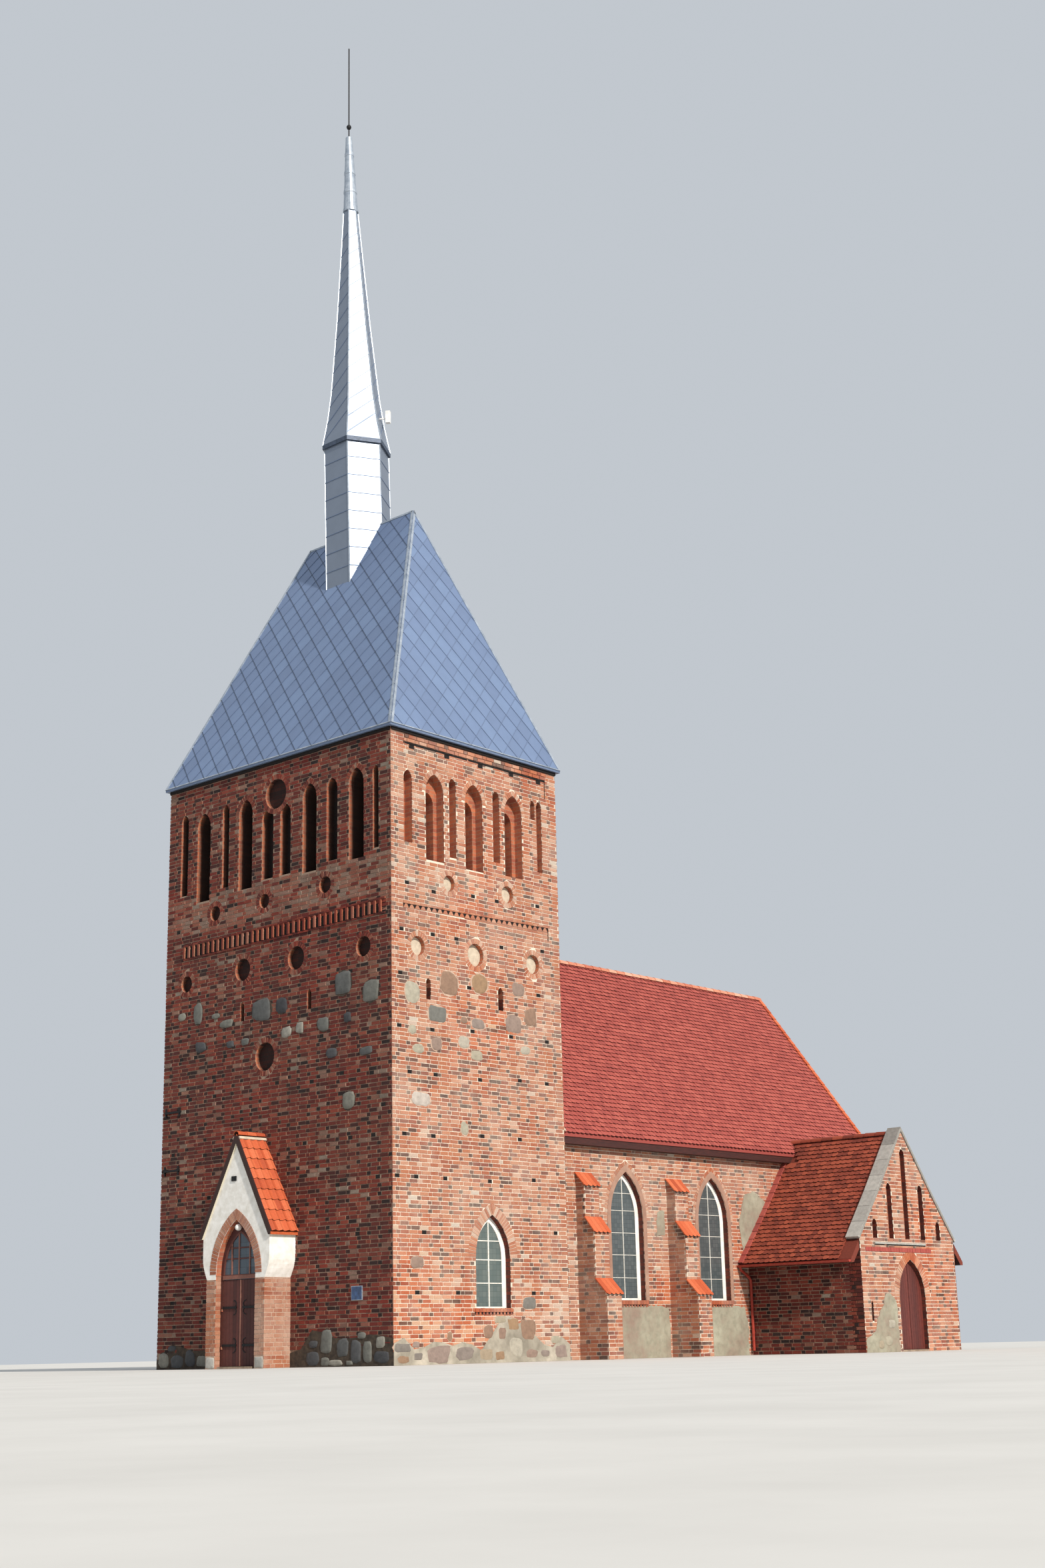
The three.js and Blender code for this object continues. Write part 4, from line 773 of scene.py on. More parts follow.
NODE_LOOKS = {
    **{"look_" + name: (name,) for name in WALLS},
    "porch_front": ("porch_wall_front",),
    "lime_plaster": ("porch_wall_south", "porch_wall_north"),
    "paving": ("tower_floor", "nave_floor", "chapel_floor", "porch_floor"),
    "seam_soft": ("tower_roof",),
    "spire_metal": ("spire_shaft", "spire_roof"),
    "pale_metal": ("spire_cap", "wall_plaque"),
    "dark_iron": ("spire_finial",),
    "white_cover": ("mast_box", "porch_lamp"),
    "fanlight_glass": ("porch_fanlight",),
    "old_wood": ("porch_door_south", "porch_door_north"),
    "door_red": ("chapel_door_west", "chapel_door_east"),
    "eave_wood": ("nave_eaves_north", "nave_eaves_south_west", "nave_eaves_south_east"),
    "red_tile": ("nave_roof_south", "nave_roof_north"),
    "chapel_tile": ("chapel_roof_west", "chapel_roof_east"),
    "porch_verge": ("porch_roof_south", "porch_roof_north"),
    "coping_stone": ("chapel_coping",),
    "red_paint": ("chapel_gutter",),
    "window_glass": [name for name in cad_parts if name.startswith("nave_window")],
    "tower_glass": ("tower_window_south", "tower_window_north"),
}
for look, names in NODE_LOOKS.items():
    for name in names:
        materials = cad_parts[name].data.materials
        materials.clear()
        materials.append(looks[look])


# Wall faces
tower_south, tower_north = face_x(TOWER_HALF_X), face_x(-TOWER_HALF_X, -1)
tower_west, tower_east = face_y(-TOWER_HALF_Y), face_y(TOWER_HALF_Y, -1)
nave_south, nave_north = face_x(NAVE_HALF_X), face_x(-NAVE_HALF_X, -1)
nave_east = face_y(NAVE_END_Y, -1)
chapel_south = face_x(CHAPEL_FACE_X)
chapel_west, chapel_east = face_y(CHAPEL_MID_Y - CHAPEL_HALF_Y), face_y(CHAPEL_MID_Y + CHAPEL_HALF_Y, -1)
porch_west, porch_door_face = face_y(PORCH_FRONT_Y), face_y(PORCH_DOOR_Y)


# Field stones and rubble
GROUND_GAP = 0.003
STONE_CORNERS = 14
COLLAR_CORNERS = 12
# Outlines of a stone from its foot to its back: the share of its width, and of its height
STONE_RINGS = ((0.93, 0.6), (0.74, 1.0), (0.3, 1.1))
STONE_JITTER = (0.88, 1.04)
STONE_POWERS = (2.4, 4.6)
STONE_ROUGHNESS = 0.15
BOULDER_PROUD = 0.035
# Where a stone's corners lie, as shares of its width and of its height
CORNERS_ACROSS = (0.4, 0.58)
CORNERS_UP = (0.42, 0.56)
# How much wider than its stone a collar is at least, and how much more it may be
COLLAR_LEAST = 1.02
COLLAR_MORE = 0.08


def in_corners(corners, s, t):
    """A place in a four-cornered outline above the ground, with s and t from -1 to 1 across and up it."""
    weights = ((1 - s) * (1 - t) / 4, (1 + s) * (1 - t) / 4, (1 + s) * (1 + t) / 4, (1 - s) * (1 + t) / 4)
    u, v = (sum(w * corner[k] for w, corner in zip(weights, corners)) for k in (0, 1))
    return u, max(GROUND_GAP, v)


def stone(pile, plane, corners, power, proud, tone=None):
    """A worn stone that fills four corners, the squarer the higher its power."""
    reach = []
    for i in range(STONE_CORNERS):
        angle = 2 * math.pi * (i + 0.5) / STONE_CORNERS
        jitter = draw.uniform(*STONE_JITTER)
        point = (math.cos(angle), math.sin(angle))
        reach.append([math.copysign(abs(c) ** (2 / power), c) * jitter for c in point])
    rings = []
    for share, out in ((1.0, -BED_SINK), *((share, proud * height) for share, height in STONE_RINGS)):
        ring = []
        for s, t in reach:
            u, v = in_corners(corners, s * share, t * share)
            rough = draw.uniform(-STONE_ROUGHNESS, STONE_ROUGHNESS) * proud
            ring.append(plane.at(u, v, out + rough * (out > 0)))
        rings.append(ring)
    pile.skin(rings, draw.random() if tone is None else tone, plane.side < 0)


def free_stones(pile, collars, plane, places, proud=0.02):
    """Single stones among the bricks, each in a collar of mortar and some with a tone of their own."""
    for u, v, width, height, *tone in places:
        corners = []
        for across, up in ((-1, -1), (1, -1), (1, 1), (-1, 1)):
            corners.append((u + across * width * draw.uniform(*CORNERS_ACROSS),
                            v + up * height * draw.uniform(*CORNERS_UP)))
        stone(pile, plane, corners, draw.uniform(*STONE_POWERS), proud, *tone)
        outline = []
        for i in range(COLLAR_CORNERS):
            angle = 2 * math.pi * i / COLLAR_CORNERS
            grow = COLLAR_LEAST + draw.uniform(0.0, COLLAR_MORE)
            outline.append(in_corners(corners, math.cos(angle) * grow, math.sin(angle) * grow))
        collars.prism(plane, outline, COLLAR_PROUD)


def rubble_bed(bed, plane, start, end, tops):
    """A bed of mortar from the ground up, whose top runs through heights at even steps."""
    step = (end - start) / (len(tops) - 1)
    outline = [(start, 0.0), (end, 0.0)] + [(end - i * step, top) for i, top in enumerate(reversed(tops))]
    bed.prism(plane, outline, PATCH_PROUD)


# Tower brickwork: its friezes from start to end and between two heights, which rise along the wall
WEST_FRIEZE = (-3.64, 3.9, 10.68, 10.99)
SOUTH_TEETH = (-2.74, 2.68, 10.9, 11.0)
FRIEZE_RISE = 0.1
FRIEZE_CUT_SHARE = 0.55
FRIEZE_STEP = 0.2
FRIEZE_BRICK = 0.07
FRIEZE_PROUD = 0.045
FRIEZE_COURSE = 0.045
FRIEZE_COURSE_PROUD = 0.03
FRIEZE_JOINT = 0.01
# Where a tooth's tip starts and ends, as shares of its step, and how far teeth and the course above stand out
TOOTH_TIP = (0.34, 0.66)
TOOTH_PROUD = 0.012
TOOTH_COURSE_PROUD = 0.014
TOOTH_COURSE = 0.048
TOOTH_GAP = 0.012
# The upright gap at the end of the teeth, painted dark as shadow
TEETH_END = (10.75, 11.15)
TEETH_END_WIDTH = 0.03
# Tones of a ring's bricks, of the west frieze and its courses, and of the south teeth and their courses
RING_TONES = (0.45, 0.95)
FRIEZE_TONES = (0.6, 0.85)
FRIEZE_COURSE_TONES = (0.3, 0.8)
TOOTH_TONES = (0.45, 0.8)
TOOTH_COURSE_TONES = (0.4, 0.75)
# The stony band under the belfry, and the share of pale bricks elsewhere on the west face
STONY_BAND = (11.25, 12.35)
STONY_SHARE = 0.75
STONY_TONES = (0.8, 1.0)
PALE_SHARE = 0.05
PALE_TONES = (0.85, 1.0)
# Pale streaks below niches on the south face, and the lime near its ground
STREAKS = (11.6, 12.3)
STREAK_MIDDLES = (-1.6, -0.1)
STREAK_HALF = 0.32
STREAK_SHARE = 0.6
LIME_TOP = 2.2
LIME_SHARE = 0.3
LIME_TONES = (0.86, 1.0)
# Scaffold holes, and stones with their width, height and tone
HOLE_HALF = 0.08
HOLE_DARK_HALF = 0.075
HOLE_PROUD = 0.003
WEST_HOLES = [
    (-3.65, 7.9), (-3.05, 7.9), (-2.25, 6.8), (-3.25, 6.8), (-1.85, 7.8), (1.25, 5.3), (2.9, 5.3),
    (2.45, 4.25),
    (1.1, 2.95), (1.6, 1.55), (3.85, 4.3), (1.85, 7.95), (-2.3, 7.3), (3.15, 3.0), (3.65, 6.8), (-0.95, 8.85),
    (4.05, 6.0), (3.7, 5.35), (-3.9, 5.4), (-2.6, 5.35), (-3.6, 4.2), (-2.4, 4.2), (-3.3, 3.0), (-2.2, 2.9),
    (0.2, 6.9), (1.5, 6.85), (-3.8, 1.6), (-2.5, 1.6), (2.6, 6.9), (2.9, 9.4), (-3.9, 11.4), (0.5, 11.4),
]
SOUTH_HOLES = [
    (-2.8, 10.35), (-1.7, 10.35), (-0.85, 10.35), (0.85, 10.35), (2.45, 10.4), (-2.85, 9.2), (-0.4, 9.15),
    (2.25, 9.2), (-2.9, 7.95), (-1.75, 7.95), (-0.3, 8.0), (1.15, 8.0), (2.55, 8.0), (-2.55, 6.85),
    (-1.65, 6.85), (-0.05, 6.85), (1.45, 6.9), (2.5, 6.9), (-2.75, 5.35), (-1.75, 5.35), (0.0, 5.4),
    (1.4, 5.4), (-3.0, 4.3), (-2.35, 4.3), (-1.35, 4.35), (0.25, 4.35), (1.9, 4.4), (-2.1, 3.0), (2.7, 3.1),
    (-2.35, 1.65), (-0.95, 1.6), (1.8, 1.6), (-2.6, 11.55), (-1.65, 11.45), (-0.2, 11.5), (0.7, 11.55),
    (2.3, 11.6),
]
WEST_STONES = [
    (-3.0, 9.1, 0.38, 0.6), (-3.65, 9.1, 0.3, 0.22), (-2.85, 8.2, 0.42, 0.3), (-1.8, 8.7, 0.6, 0.23),
    (-0.45, 8.9, 0.8, 0.58), (0.35, 8.9, 0.5, 0.46), (-1.65, 8.15, 0.3, 0.2), (-1.05, 8.15, 0.3, 0.2),
    (0.55, 8.2, 0.42, 0.3), (1.05, 8.25, 0.28, 0.3), (1.9, 8.25, 0.43, 0.4), (2.65, 9.2, 0.58, 0.7),
    (3.6, 8.85, 0.62, 0.6), (2.25, 7.5, 0.42, 0.26), (3.45, 7.4, 0.5, 0.22), (2.85, 6.25, 0.47, 0.5),
    (2.8, 8.3, 0.26, 0.26), (-2.25, 8.95, 0.36, 0.16),
]
SOUTH_STONES = [
    (-2.45, 8.8, 0.6, 0.7, 0.82), (-1.15, 9.15, 0.7, 0.64, 0.42), (0.0, 9.3, 0.67, 0.55, 0.58),
    (1.45, 9.3, 0.5, 0.4, 0.28), (-1.55, 8.35, 0.7, 0.45, 0.0), (-0.1, 8.25, 0.6, 0.3, 0.16),
    (1.25, 8.4, 0.65, 0.5, 0.25), (1.95, 8.65, 0.5, 0.5, 0.4), (-2.45, 7.9, 0.3, 0.25, 0.8),
    (-2.25, 7.45, 0.4, 0.25, 0.8), (-1.6, 7.6, 0.4, 0.4, 0.27), (-0.6, 7.75, 0.43, 0.33, 0.88),
    (-0.15, 7.45, 0.44, 0.3, 0.78), (1.7, 7.75, 0.45, 0.23, 0.85), (-0.6, 8.3, 0.27, 0.2, 0.38),
    (-2.2, 6.2, 0.65, 0.36, 1.0), (-0.65, 5.6, 0.37, 0.36, 0.8), (-2.35, 2.35, 0.45, 0.3, 0.3),
    (1.6, 1.4, 0.56, 0.32, 0.03), (1.55, 0.77, 0.62, 0.54, 0.42), (0.09, 0.73, 0.4, 0.37, 0.4),
    (0.6, 0.68, 0.3, 0.32, 0.35), (-1.26, 0.63, 0.2, 0.26, 0.45), (1.0, 0.9, 0.46, 0.32, 0.6),
    (0.53, 1.02, 0.4, 0.2, 0.75), (-2.84, 0.39, 0.58, 0.25, 0.06), (-2.85, 0.13, 0.5, 0.22, 0.5),
    (-2.35, 0.2, 0.34, 0.2, 0.08), (-1.68, 0.24, 0.94, 0.44, 0.22), (-2.42, 0.46, 0.26, 0.14, 0.2),
    (-0.74, 0.24, 0.74, 0.4, 0.12), (-0.02, 0.2, 0.56, 0.3, 0.7), (0.5, 0.17, 0.36, 0.24, 0.55),
    (1.06, 0.36, 0.56, 0.56, 0.86), (1.66, 0.2, 0.5, 0.24, 0.3), (2.2, 0.2, 0.42, 0.2, 0.15),
    (2.78, 0.22, 0.5, 0.34, 0.2), (2.6, 0.52, 0.4, 0.2, 0.78),
]
WEST_BOULDERS = [
    (1.6, 0.22, 0.5, 0.38), (2.09, 0.58, 0.44, 0.62), (2.64, 0.44, 0.46, 0.46), (2.42, 0.1, 0.56, 0.16),
    (3.1, 0.32, 0.42, 0.56), (3.52, 0.32, 0.34, 0.58), (3.93, 0.53, 0.34, 0.3), (3.98, 0.2, 0.6, 0.3),
    (2.06, 0.13, 0.34, 0.22), (1.62, 0.52, 0.34, 0.2), (2.88, 0.08, 0.24, 0.12), (3.3, 0.7, 0.3, 0.16),
    (-4.08, 0.24, 0.5, 0.4), (-3.52, 0.2, 0.52, 0.34), (-3.0, 0.26, 0.44, 0.44), (-2.5, 0.18, 0.5, 0.3),
    (-1.98, 0.24, 0.46, 0.38), (-1.48, 0.16, 0.42, 0.26), (-3.75, 0.52, 0.34, 0.18), (-2.25, 0.48, 0.3, 0.16),
    (-1.0, 0.2, 0.42, 0.32), (-1.3, 0.42, 0.28, 0.18),
]
CHAPEL_STONES = [(12.75, 0.3, 0.4, 0.3), (12.95, 0.75, 0.34, 0.26), (12.35, 0.2, 0.3, 0.24)]
SOUTH_BED = (0.5, 0.62, 0.36, 0.4, 0.52, 0.5, 0.42, 0.5, 0.44, 0.3,
             0.62, 0.95, 1.12, 0.9, 1.0, 0.62, 0.4, 0.34, 0.6, 0.4)
WEST_BED = (0.34, 0.42, 0.86, 0.8, 0.66, 0.64, 0.66, 0.72, 0.68, 0.62)
SOUTH_PLINTH = 0.3
WEST_PLINTH = 0.4
LOW_BED_SHARE = 0.7
PORCH_COVER_TOP = 3.4
# Courses under the tower's roof that stand out a little, over a groove painted dark as shadow, with a painted
# shadow that drops at their end
TOP_COURSES = (-2.7, 2.72)
TOP_COURSES_Z = 15.2
TOP_COURSES_PROUD = 0.035
TOP_COURSES_SHORT = 0.09
TOP_GROOVE = 0.05
TOP_END = (0.03, 0.5)
# Dark spots under them: their middles, half width, and foot and head below the courses
TOP_SPOTS = (-2.41, -1.12, 0.15, 1.35, 2.45)
TOP_SPOT_HALF = 0.09
TOP_SPOT = (0.15, 0.04)
# The shadow under the tower's eave: its foot and head below the wall's top, and how far it stands out
EAVE_SHADOW = (0.08, 0.005)
EAVE_SHADOW_PROUD = 0.05


def course_foot(v):
    return math.floor(v / COURSE + 1e-6) * COURSE


def niche_cuts(niches, ring=0.0):
    return [ArchCut(middle, half, bottom, top, ring=ring) for middle, half, bottom, top in niches]


def round_cuts(places):
    return [RoundCut(*place, ring=RING) for place in places]


def hole_cuts(holes):
    """One course left out over a short length, for each scaffold hole."""
    return [BoxCut(u - HOLE_HALF, u + HOLE_HALF, course_foot(v), course_foot(v) + COURSE) for u, v in holes]


def frieze_cut(start, end, low, high):
    return BoxCut(start, end, low, high + FRIEZE_RISE * FRIEZE_CUT_SHARE)


def west_tone(u, v, header):
    """The tower's west face is grey and stony in a band under the belfry."""
    low, high = STONY_BAND
    if low < v < high and draw.random() < STONY_SHARE:
        return draw.uniform(*STONY_TONES)
    if draw.random() < PALE_SHARE:
        return draw.uniform(*PALE_TONES)
    return brick_tone(u, v, header)


def south_tone(u, v, header):
    """Pale streaks run down from two of the tower's niches, and lime is left near the ground."""
    low, high = STREAKS
    streak = low < v < high and min(abs(u - middle) for middle in STREAK_MIDDLES) < STREAK_HALF
    pale_share = STREAK_SHARE if streak else LIME_SHARE * max(0.0, min(1.0, LIME_TOP - v))
    return draw.uniform(*LIME_TONES) if draw.random() < pale_share else brick_tone(u, v, header)


def brick_wall(name, plane, heights, edges, cuts, sunlit, tone=brick_tone):
    pile = Pile()
    tilt = SMOOTH_TILT if sunlit else ROUGH_TILT
    lay_courses(pile, plane, *heights, edges, cuts, tone, tilt=tilt)
    for cut in cuts:
        if cut.ring:
            cut.lay_ring(pile, plane, RING_TONES, tilt)
    pile.build(name, "brick_sunlit" if sunlit else "brick_shaded")


tower_heights = (0, TOWER_TOP)
long_edges = straight(-TOWER_HALF_X, TOWER_HALF_X)
long_cuts = niche_cuts(LONG_OPENINGS, RING) + niche_cuts(LONG_NICHES)
west_cuts = long_cuts + round_cuts(LONG_ROUNDELS) + niche_cuts(LONG_SLITS) + hole_cuts(WEST_HOLES) + [
    frieze_cut(*WEST_FRIEZE),
    BoxCut(PORCH_X - PORCH_BRICK_HALF, PORCH_X + PORCH_BRICK_HALF, 0, PORCH_COVER_TOP),
    BoxCut(PORCH_X + PORCH_BRICK_HALF, TOWER_HALF_X, 0, WEST_PLINTH),
    BoxCut(-TOWER_HALF_X, PORCH_X - PORCH_BRICK_HALF, 0, WEST_PLINTH),
]
brick_wall("bricks_tower_west", tower_west, tower_heights, long_edges, west_cuts, False, west_tone)
nave_shadow = GableCut(0, NAVE_EAVE_X, NAVE_EAVE_Z - 0.1, NAVE_RIDGE_Z)
brick_wall("bricks_tower_east", tower_east, tower_heights, long_edges, long_cuts + [nave_shadow], False)
corner = TOWER_HALF_Y + BRICK_PROUD
short_edges = straight(-corner, corner)
window_middle, *window_sizes = TOWER_WINDOW
half, sill, spring, top = window_sizes
short_cuts = niche_cuts(SHORT_DOUBLE_NICHES, RING) + niche_cuts(SHORT_NICHES) + round_cuts(SHORT_ROUNDELS)
short_cuts += niche_cuts(SHORT_SLITS) + [ArchCut(window_middle, half, sill, top, spring, WINDOW_RING)]
south_cuts = short_cuts + hole_cuts(SOUTH_HOLES)
south_cuts += [frieze_cut(*SOUTH_TEETH), BoxCut(-corner, corner, 0, SOUTH_PLINTH)]
brick_wall("bricks_tower_south", tower_south, tower_heights, short_edges, south_cuts, True, south_tone)
brick_wall("bricks_tower_north", tower_north, tower_heights, short_edges, short_cuts, False)

# Everything that is nearly black is painted shade: the insides of holes, and gaps and strips where shadows
# fall
dark = Pile()
for plane, holes in ((tower_west, WEST_HOLES), (tower_south, SOUTH_HOLES)):
    for u, v in holes:
        foot = course_foot(v)
        dark.block(plane, u - HOLE_DARK_HALF, u + HOLE_DARK_HALF, foot + GAP, foot + COURSE - GAP,
                   HOLE_PROUD)


def west_frieze():
    """Upright bricks that stand out one by one, between two courses."""
    pile = Pile()
    start, end, low, high = WEST_FRIEZE
    count = round((end - start) / FRIEZE_STEP)
    for i in range(count + 1):
        u = start + i * FRIEZE_STEP
        foot, head = (v + FRIEZE_RISE * i / count for v in (low, high))
        lay_oblong(pile, tower_west, u, u + FRIEZE_BRICK, foot, head, FRIEZE_PROUD, FRIEZE_TILT,
                   FRIEZE_TONES)
        # Painted shadow: a dark plate in the gap between two upright bricks
        dark.block(tower_west, u + FRIEZE_BRICK, u + FRIEZE_STEP, foot, head, GAP)
        for v in (foot - FRIEZE_COURSE - FRIEZE_JOINT, head + FRIEZE_JOINT):
            lay_oblong(pile, tower_west, u + GAP, u + FRIEZE_STEP - GAP, v, v + FRIEZE_COURSE,
                       FRIEZE_COURSE_PROUD, FRIEZE_TILT, FRIEZE_COURSE_TONES)
    pile.build("frieze_west", "brick_shaded")


def south_teeth():
    """A course laid as teeth, whose gaps are painted dark as shadow, under a plain course."""
    pile = Pile()
    start, end, low, high = SOUTH_TEETH
    cut_foot, cut_top = course_foot(low), course_foot(high) + COURSE
    count = round((end - start) / FRIEZE_STEP)
    step = (end - start) / count
    for i in range(count):
        u = start + step * i
        foot = low + FRIEZE_RISE * i / count
        head = foot + high - low
        left, right = u + GAP, u + step - GAP
        tip_left, tip_right = (u + step * share for share in TOOTH_TIP)
        tooth = [(left, foot), (right, foot), (tip_right, head), (tip_left, head)]
        lay_piece(pile, tower_south, tooth, TOOTH_PROUD, SMOOTH_TILT, TOOTH_TONES)
        course = head + TOOTH_GAP
        # Painted shadow: the gap round each tooth is dark
        dark.block(tower_south, u, u + step, foot, course, GAP)
        lay_oblong(pile, tower_south, left, right, course, max(course + TOOTH_COURSE, cut_top - FRIEZE_JOINT),
                   TOOTH_COURSE_PROUD, SMOOTH_TILT, TOOTH_COURSE_TONES)
        if foot > cut_foot + 0.04:
            lay_oblong(pile, tower_south, left, right, cut_foot + FRIEZE_JOINT, foot - FRIEZE_JOINT,
                       BRICK_PROUD, SMOOTH_TILT, TOOTH_COURSE_TONES)
    dark.block(tower_south, end, end + TEETH_END_WIDTH, *TEETH_END, COLLAR_PROUD)
    left, right = TOP_COURSES
    lay_courses(pile, tower_south, TOP_COURSES_Z, TOWER_TOP - TOP_COURSES_SHORT, straight(left, right),
                proud=TOP_COURSES_PROUD)
    # Painted shadow: a dark line under the courses that stand out, and a drop at their end
    dark.block(tower_south, left, right, TOP_COURSES_Z - TOP_GROOVE, TOP_COURSES_Z, SHADOW_PROUD)
    width, length = TOP_END
    dark.block(tower_south, right - width, right, TOP_COURSES_Z - length, TOP_COURSES_Z, SHADOW_PROUD)
    foot, head = (TOP_COURSES_Z - down for down in TOP_SPOT)
    for u in TOP_SPOTS:
        dark.block(tower_south, u - TOP_SPOT_HALF, u + TOP_SPOT_HALF, foot, head, SHADOW_PROUD)
    pile.build("frieze_south", "brick_sunlit")


west_frieze()
south_teeth()
foot, head = (TOWER_TOP - down for down in EAVE_SHADOW)
for plane, reach in ((tower_west, TOWER_HALF_X), (tower_south, TOWER_HALF_Y)):
    dark.block(plane, -reach, reach, foot, head, EAVE_SHADOW_PROUD)

pink, grey, pale_bed, dark_bed, plinth_bed = (Pile() for _ in range(5))
rubble_bed(plinth_bed, tower_south, -TOWER_HALF_Y, TOWER_HALF_Y, SOUTH_BED)
plinth_bed.build("plinth_mortar", "plinth_mortar")
rubble_bed(dark_bed, tower_west, PORCH_X + PORCH_BRICK_HALF, TOWER_HALF_X, WEST_BED)
low_bed = [top * LOW_BED_SHARE for top in WEST_BED]
rubble_bed(dark_bed, tower_west, -TOWER_HALF_X, PORCH_X - PORCH_BRICK_HALF, low_bed)
free_stones(pink, pale_bed, tower_south, SOUTH_STONES)
free_stones(grey, dark_bed, tower_west, WEST_STONES + WEST_BOULDERS, BOULDER_PROUD)


# Nave and chapel brickwork
NAVE_RAKE_SHORT = 0.33
NAVE_BRICKS_SHORT = 0.4
nave_half, nave_sill, nave_spring, nave_top = NAVE_WINDOW


def buttress_gaps(places):
    return [BoxCut(y - BUTTRESS_HALF, y + BUTTRESS_HALF, 0, BUTTRESS_TOP) for y in places]


def window_cuts(places):
    return [ArchCut(y, nave_half, nave_sill, nave_top, nave_spring, WINDOW_RING) for y in places]


def nave_gable(v):
    reach = min(NAVE_HALF_X, (NAVE_RIDGE_Z - NAVE_RAKE_SHORT - v) / NAVE_PITCH)
    return (-reach, reach)


def chapel_rake(v):
    """The gable's edges at a height."""
    if v < KNEELER_Z:
        out = CHAPEL_HALF_Y
    elif v < CHAPEL_KINK_Z + GABLE_RISE:
        share = (v - KNEELER_Z) / (CHAPEL_KINK_Z + GABLE_RISE - KNEELER_Z)
        out = CHAPEL_HALF_Y + (CHAPEL_KINK_OUT - CHAPEL_HALF_Y) * share
    else:
        share = (v - CHAPEL_KINK_Z - GABLE_RISE) / (CHAPEL_RIDGE_Z - CHAPEL_KINK_Z)
        out = CHAPEL_KINK_OUT * (1 - share)
    return (CHAPEL_MID_Y - out, CHAPEL_MID_Y + out)


nave_heights = (0, EAVE_BOTTOM)
nave_edges = straight(NAVE_START_Y, NAVE_END_Y)
chapel_gap = BoxCut(CHAPEL_MID_Y - CHAPEL_HALF_Y, CHAPEL_MID_Y + CHAPEL_HALF_Y, 0, CHAPEL_EAVE_Z)
brick_wall("bricks_nave_south", nave_south, nave_heights, nave_edges,
           window_cuts(SOUTH_WINDOWS) + buttress_gaps(SOUTH_BUTTRESSES) + [chapel_gap], True)
brick_wall("bricks_nave_north", nave_north, nave_heights, nave_edges,
           window_cuts(NORTH_WINDOWS) + buttress_gaps(NORTH_BUTTRESSES), False)
brick_wall("bricks_nave_east", nave_east, (0, NAVE_RIDGE_Z - NAVE_BRICKS_SHORT), nave_gable,
           window_cuts([0]) + niche_cuts(EAST_NICHES), False)
middle, half, spring, top = CHAPEL_DOOR
chapel_cuts = niche_cuts(CHAPEL_NICHES + [CHAPEL_SLIT]) + [ArchCut(middle, half, 0, top, spring, WINDOW_RING)]
gable_heights = (0, CHAPEL_RIDGE_Z + GABLE_RISE)
brick_wall("bricks_chapel_gable", chapel_south, gable_heights, chapel_rake, chapel_cuts, True)
side_edges = straight(NAVE_HALF_X, CHAPEL_FACE_X + BRICK_PROUD)
brick_wall("bricks_chapel_west", chapel_west, (0, CHAPEL_WALL_TOP), side_edges, [], False)
brick_wall("bricks_chapel_east", chapel_east, (0, CHAPEL_WALL_TOP), side_edges, [], False)


def buttress_reach(v):
    """How far a buttress stands out at a height, with its sloped caps."""
    reach = 0.0
    for out, cap_top, cap_foot in BUTTRESS_STEPS:
        if v <= cap_foot:
            reach = out
        elif v < cap_top:
            reach += (out - reach) * (cap_top - v) / (cap_top - cap_foot)
    return reach


def buttress_bricks(name, sign, places, look):
    """The bricks of a row of buttresses; on the north side the lowest step's face stays bare."""
    pile = Pile()

    def edges(v):
        return sorted((sign * NAVE_HALF_X, sign * (NAVE_HALF_X + buttress_reach(v))))

    for y in places:
        for side in (-1, 1):
            lay_courses(pile, face_y(y + side * BUTTRESS_HALF, -side), 0, BUTTRESS_TOP, edges)
        bottom = 0.0
        reach = BUTTRESS_HALF + BRICK_PROUD
        for out, cap_top, cap_foot in reversed(BUTTRESS_STEPS):
            if sign > 0 or out < BUTTRESS_REACH:
                face = face_x(sign * (NAVE_HALF_X + out), sign)
                lay_courses(pile, face, bottom, cap_foot, straight(y - reach, y + reach))
            bottom = cap_top
    pile.build(name, look)


buttress_bricks("bricks_buttress_south", 1, SOUTH_BUTTRESSES, "brick_sunlit")
buttress_bricks("bricks_buttress_north", -1, NORTH_BUTTRESSES, "brick_shaded")


# Roof tiles
TILE_WIDTH = 0.18
TILE_SHOWN = 0.16
TILE_LENGTH = 0.25
TILE_THICK = 0.02
TILE_FALL = 0.042
TILE_LIFT = 0.056
TILE_GAP = 0.003
# How far the first row hangs over the eave, and the shortest and the narrowest piece of a tile that is laid
TILE_OVERHANG = 0.02
LEAST_TILE_LENGTH = 0.06
LEAST_TILE_WIDTH = 0.03
TILE_UNEVEN = 0.005
# A tile's lower corners as shares of its width, how far in they start and how far up, and its toe's height
CORNER_INSET = 0.3
CORNER_SAG = 0.2
TILE_TOE = 0.004
# Half-round tiles: steps round one, its wall, and how much wider and narrower its two ends are
ROUND_STEPS = 8
ROUND_THICK = 0.016
WIDE_END = 1.06
NARROW_END = 0.94
RIDGE_TILE = 0.38
EDGE_TILE = 0.3
# Edge tiles: width, lap, thickness, and the heights of their lower and upper ends
EDGE_WIDTH = 0.16
EDGE_LAP = 0.03
EDGE_THICK = 0.09
EDGE_LOW_TOP = 0.085
EDGE_HIGH_TOP = 0.07
# The nave's roof: how far below the ridge its tiles, edge tiles and the mortar along the tower end
NAVE_TILES_SHORT = 0.08
NAVE_EDGES_SHORT = 0.1
FLASHING_WIDTH = 0.1
FLASHING_HEIGHT = 0.075


def rounded_tile(a, b, low, high, sag, toe=0.0):
    """A tile's outline, whose lower corners stand higher than its toe."""
    inset = (b - a) * CORNER_INSET
    return [(a, low + sag), (a + inset, low + toe), (b - inset, low + toe), (b, low + sag),
            (b, high), (a, high)]


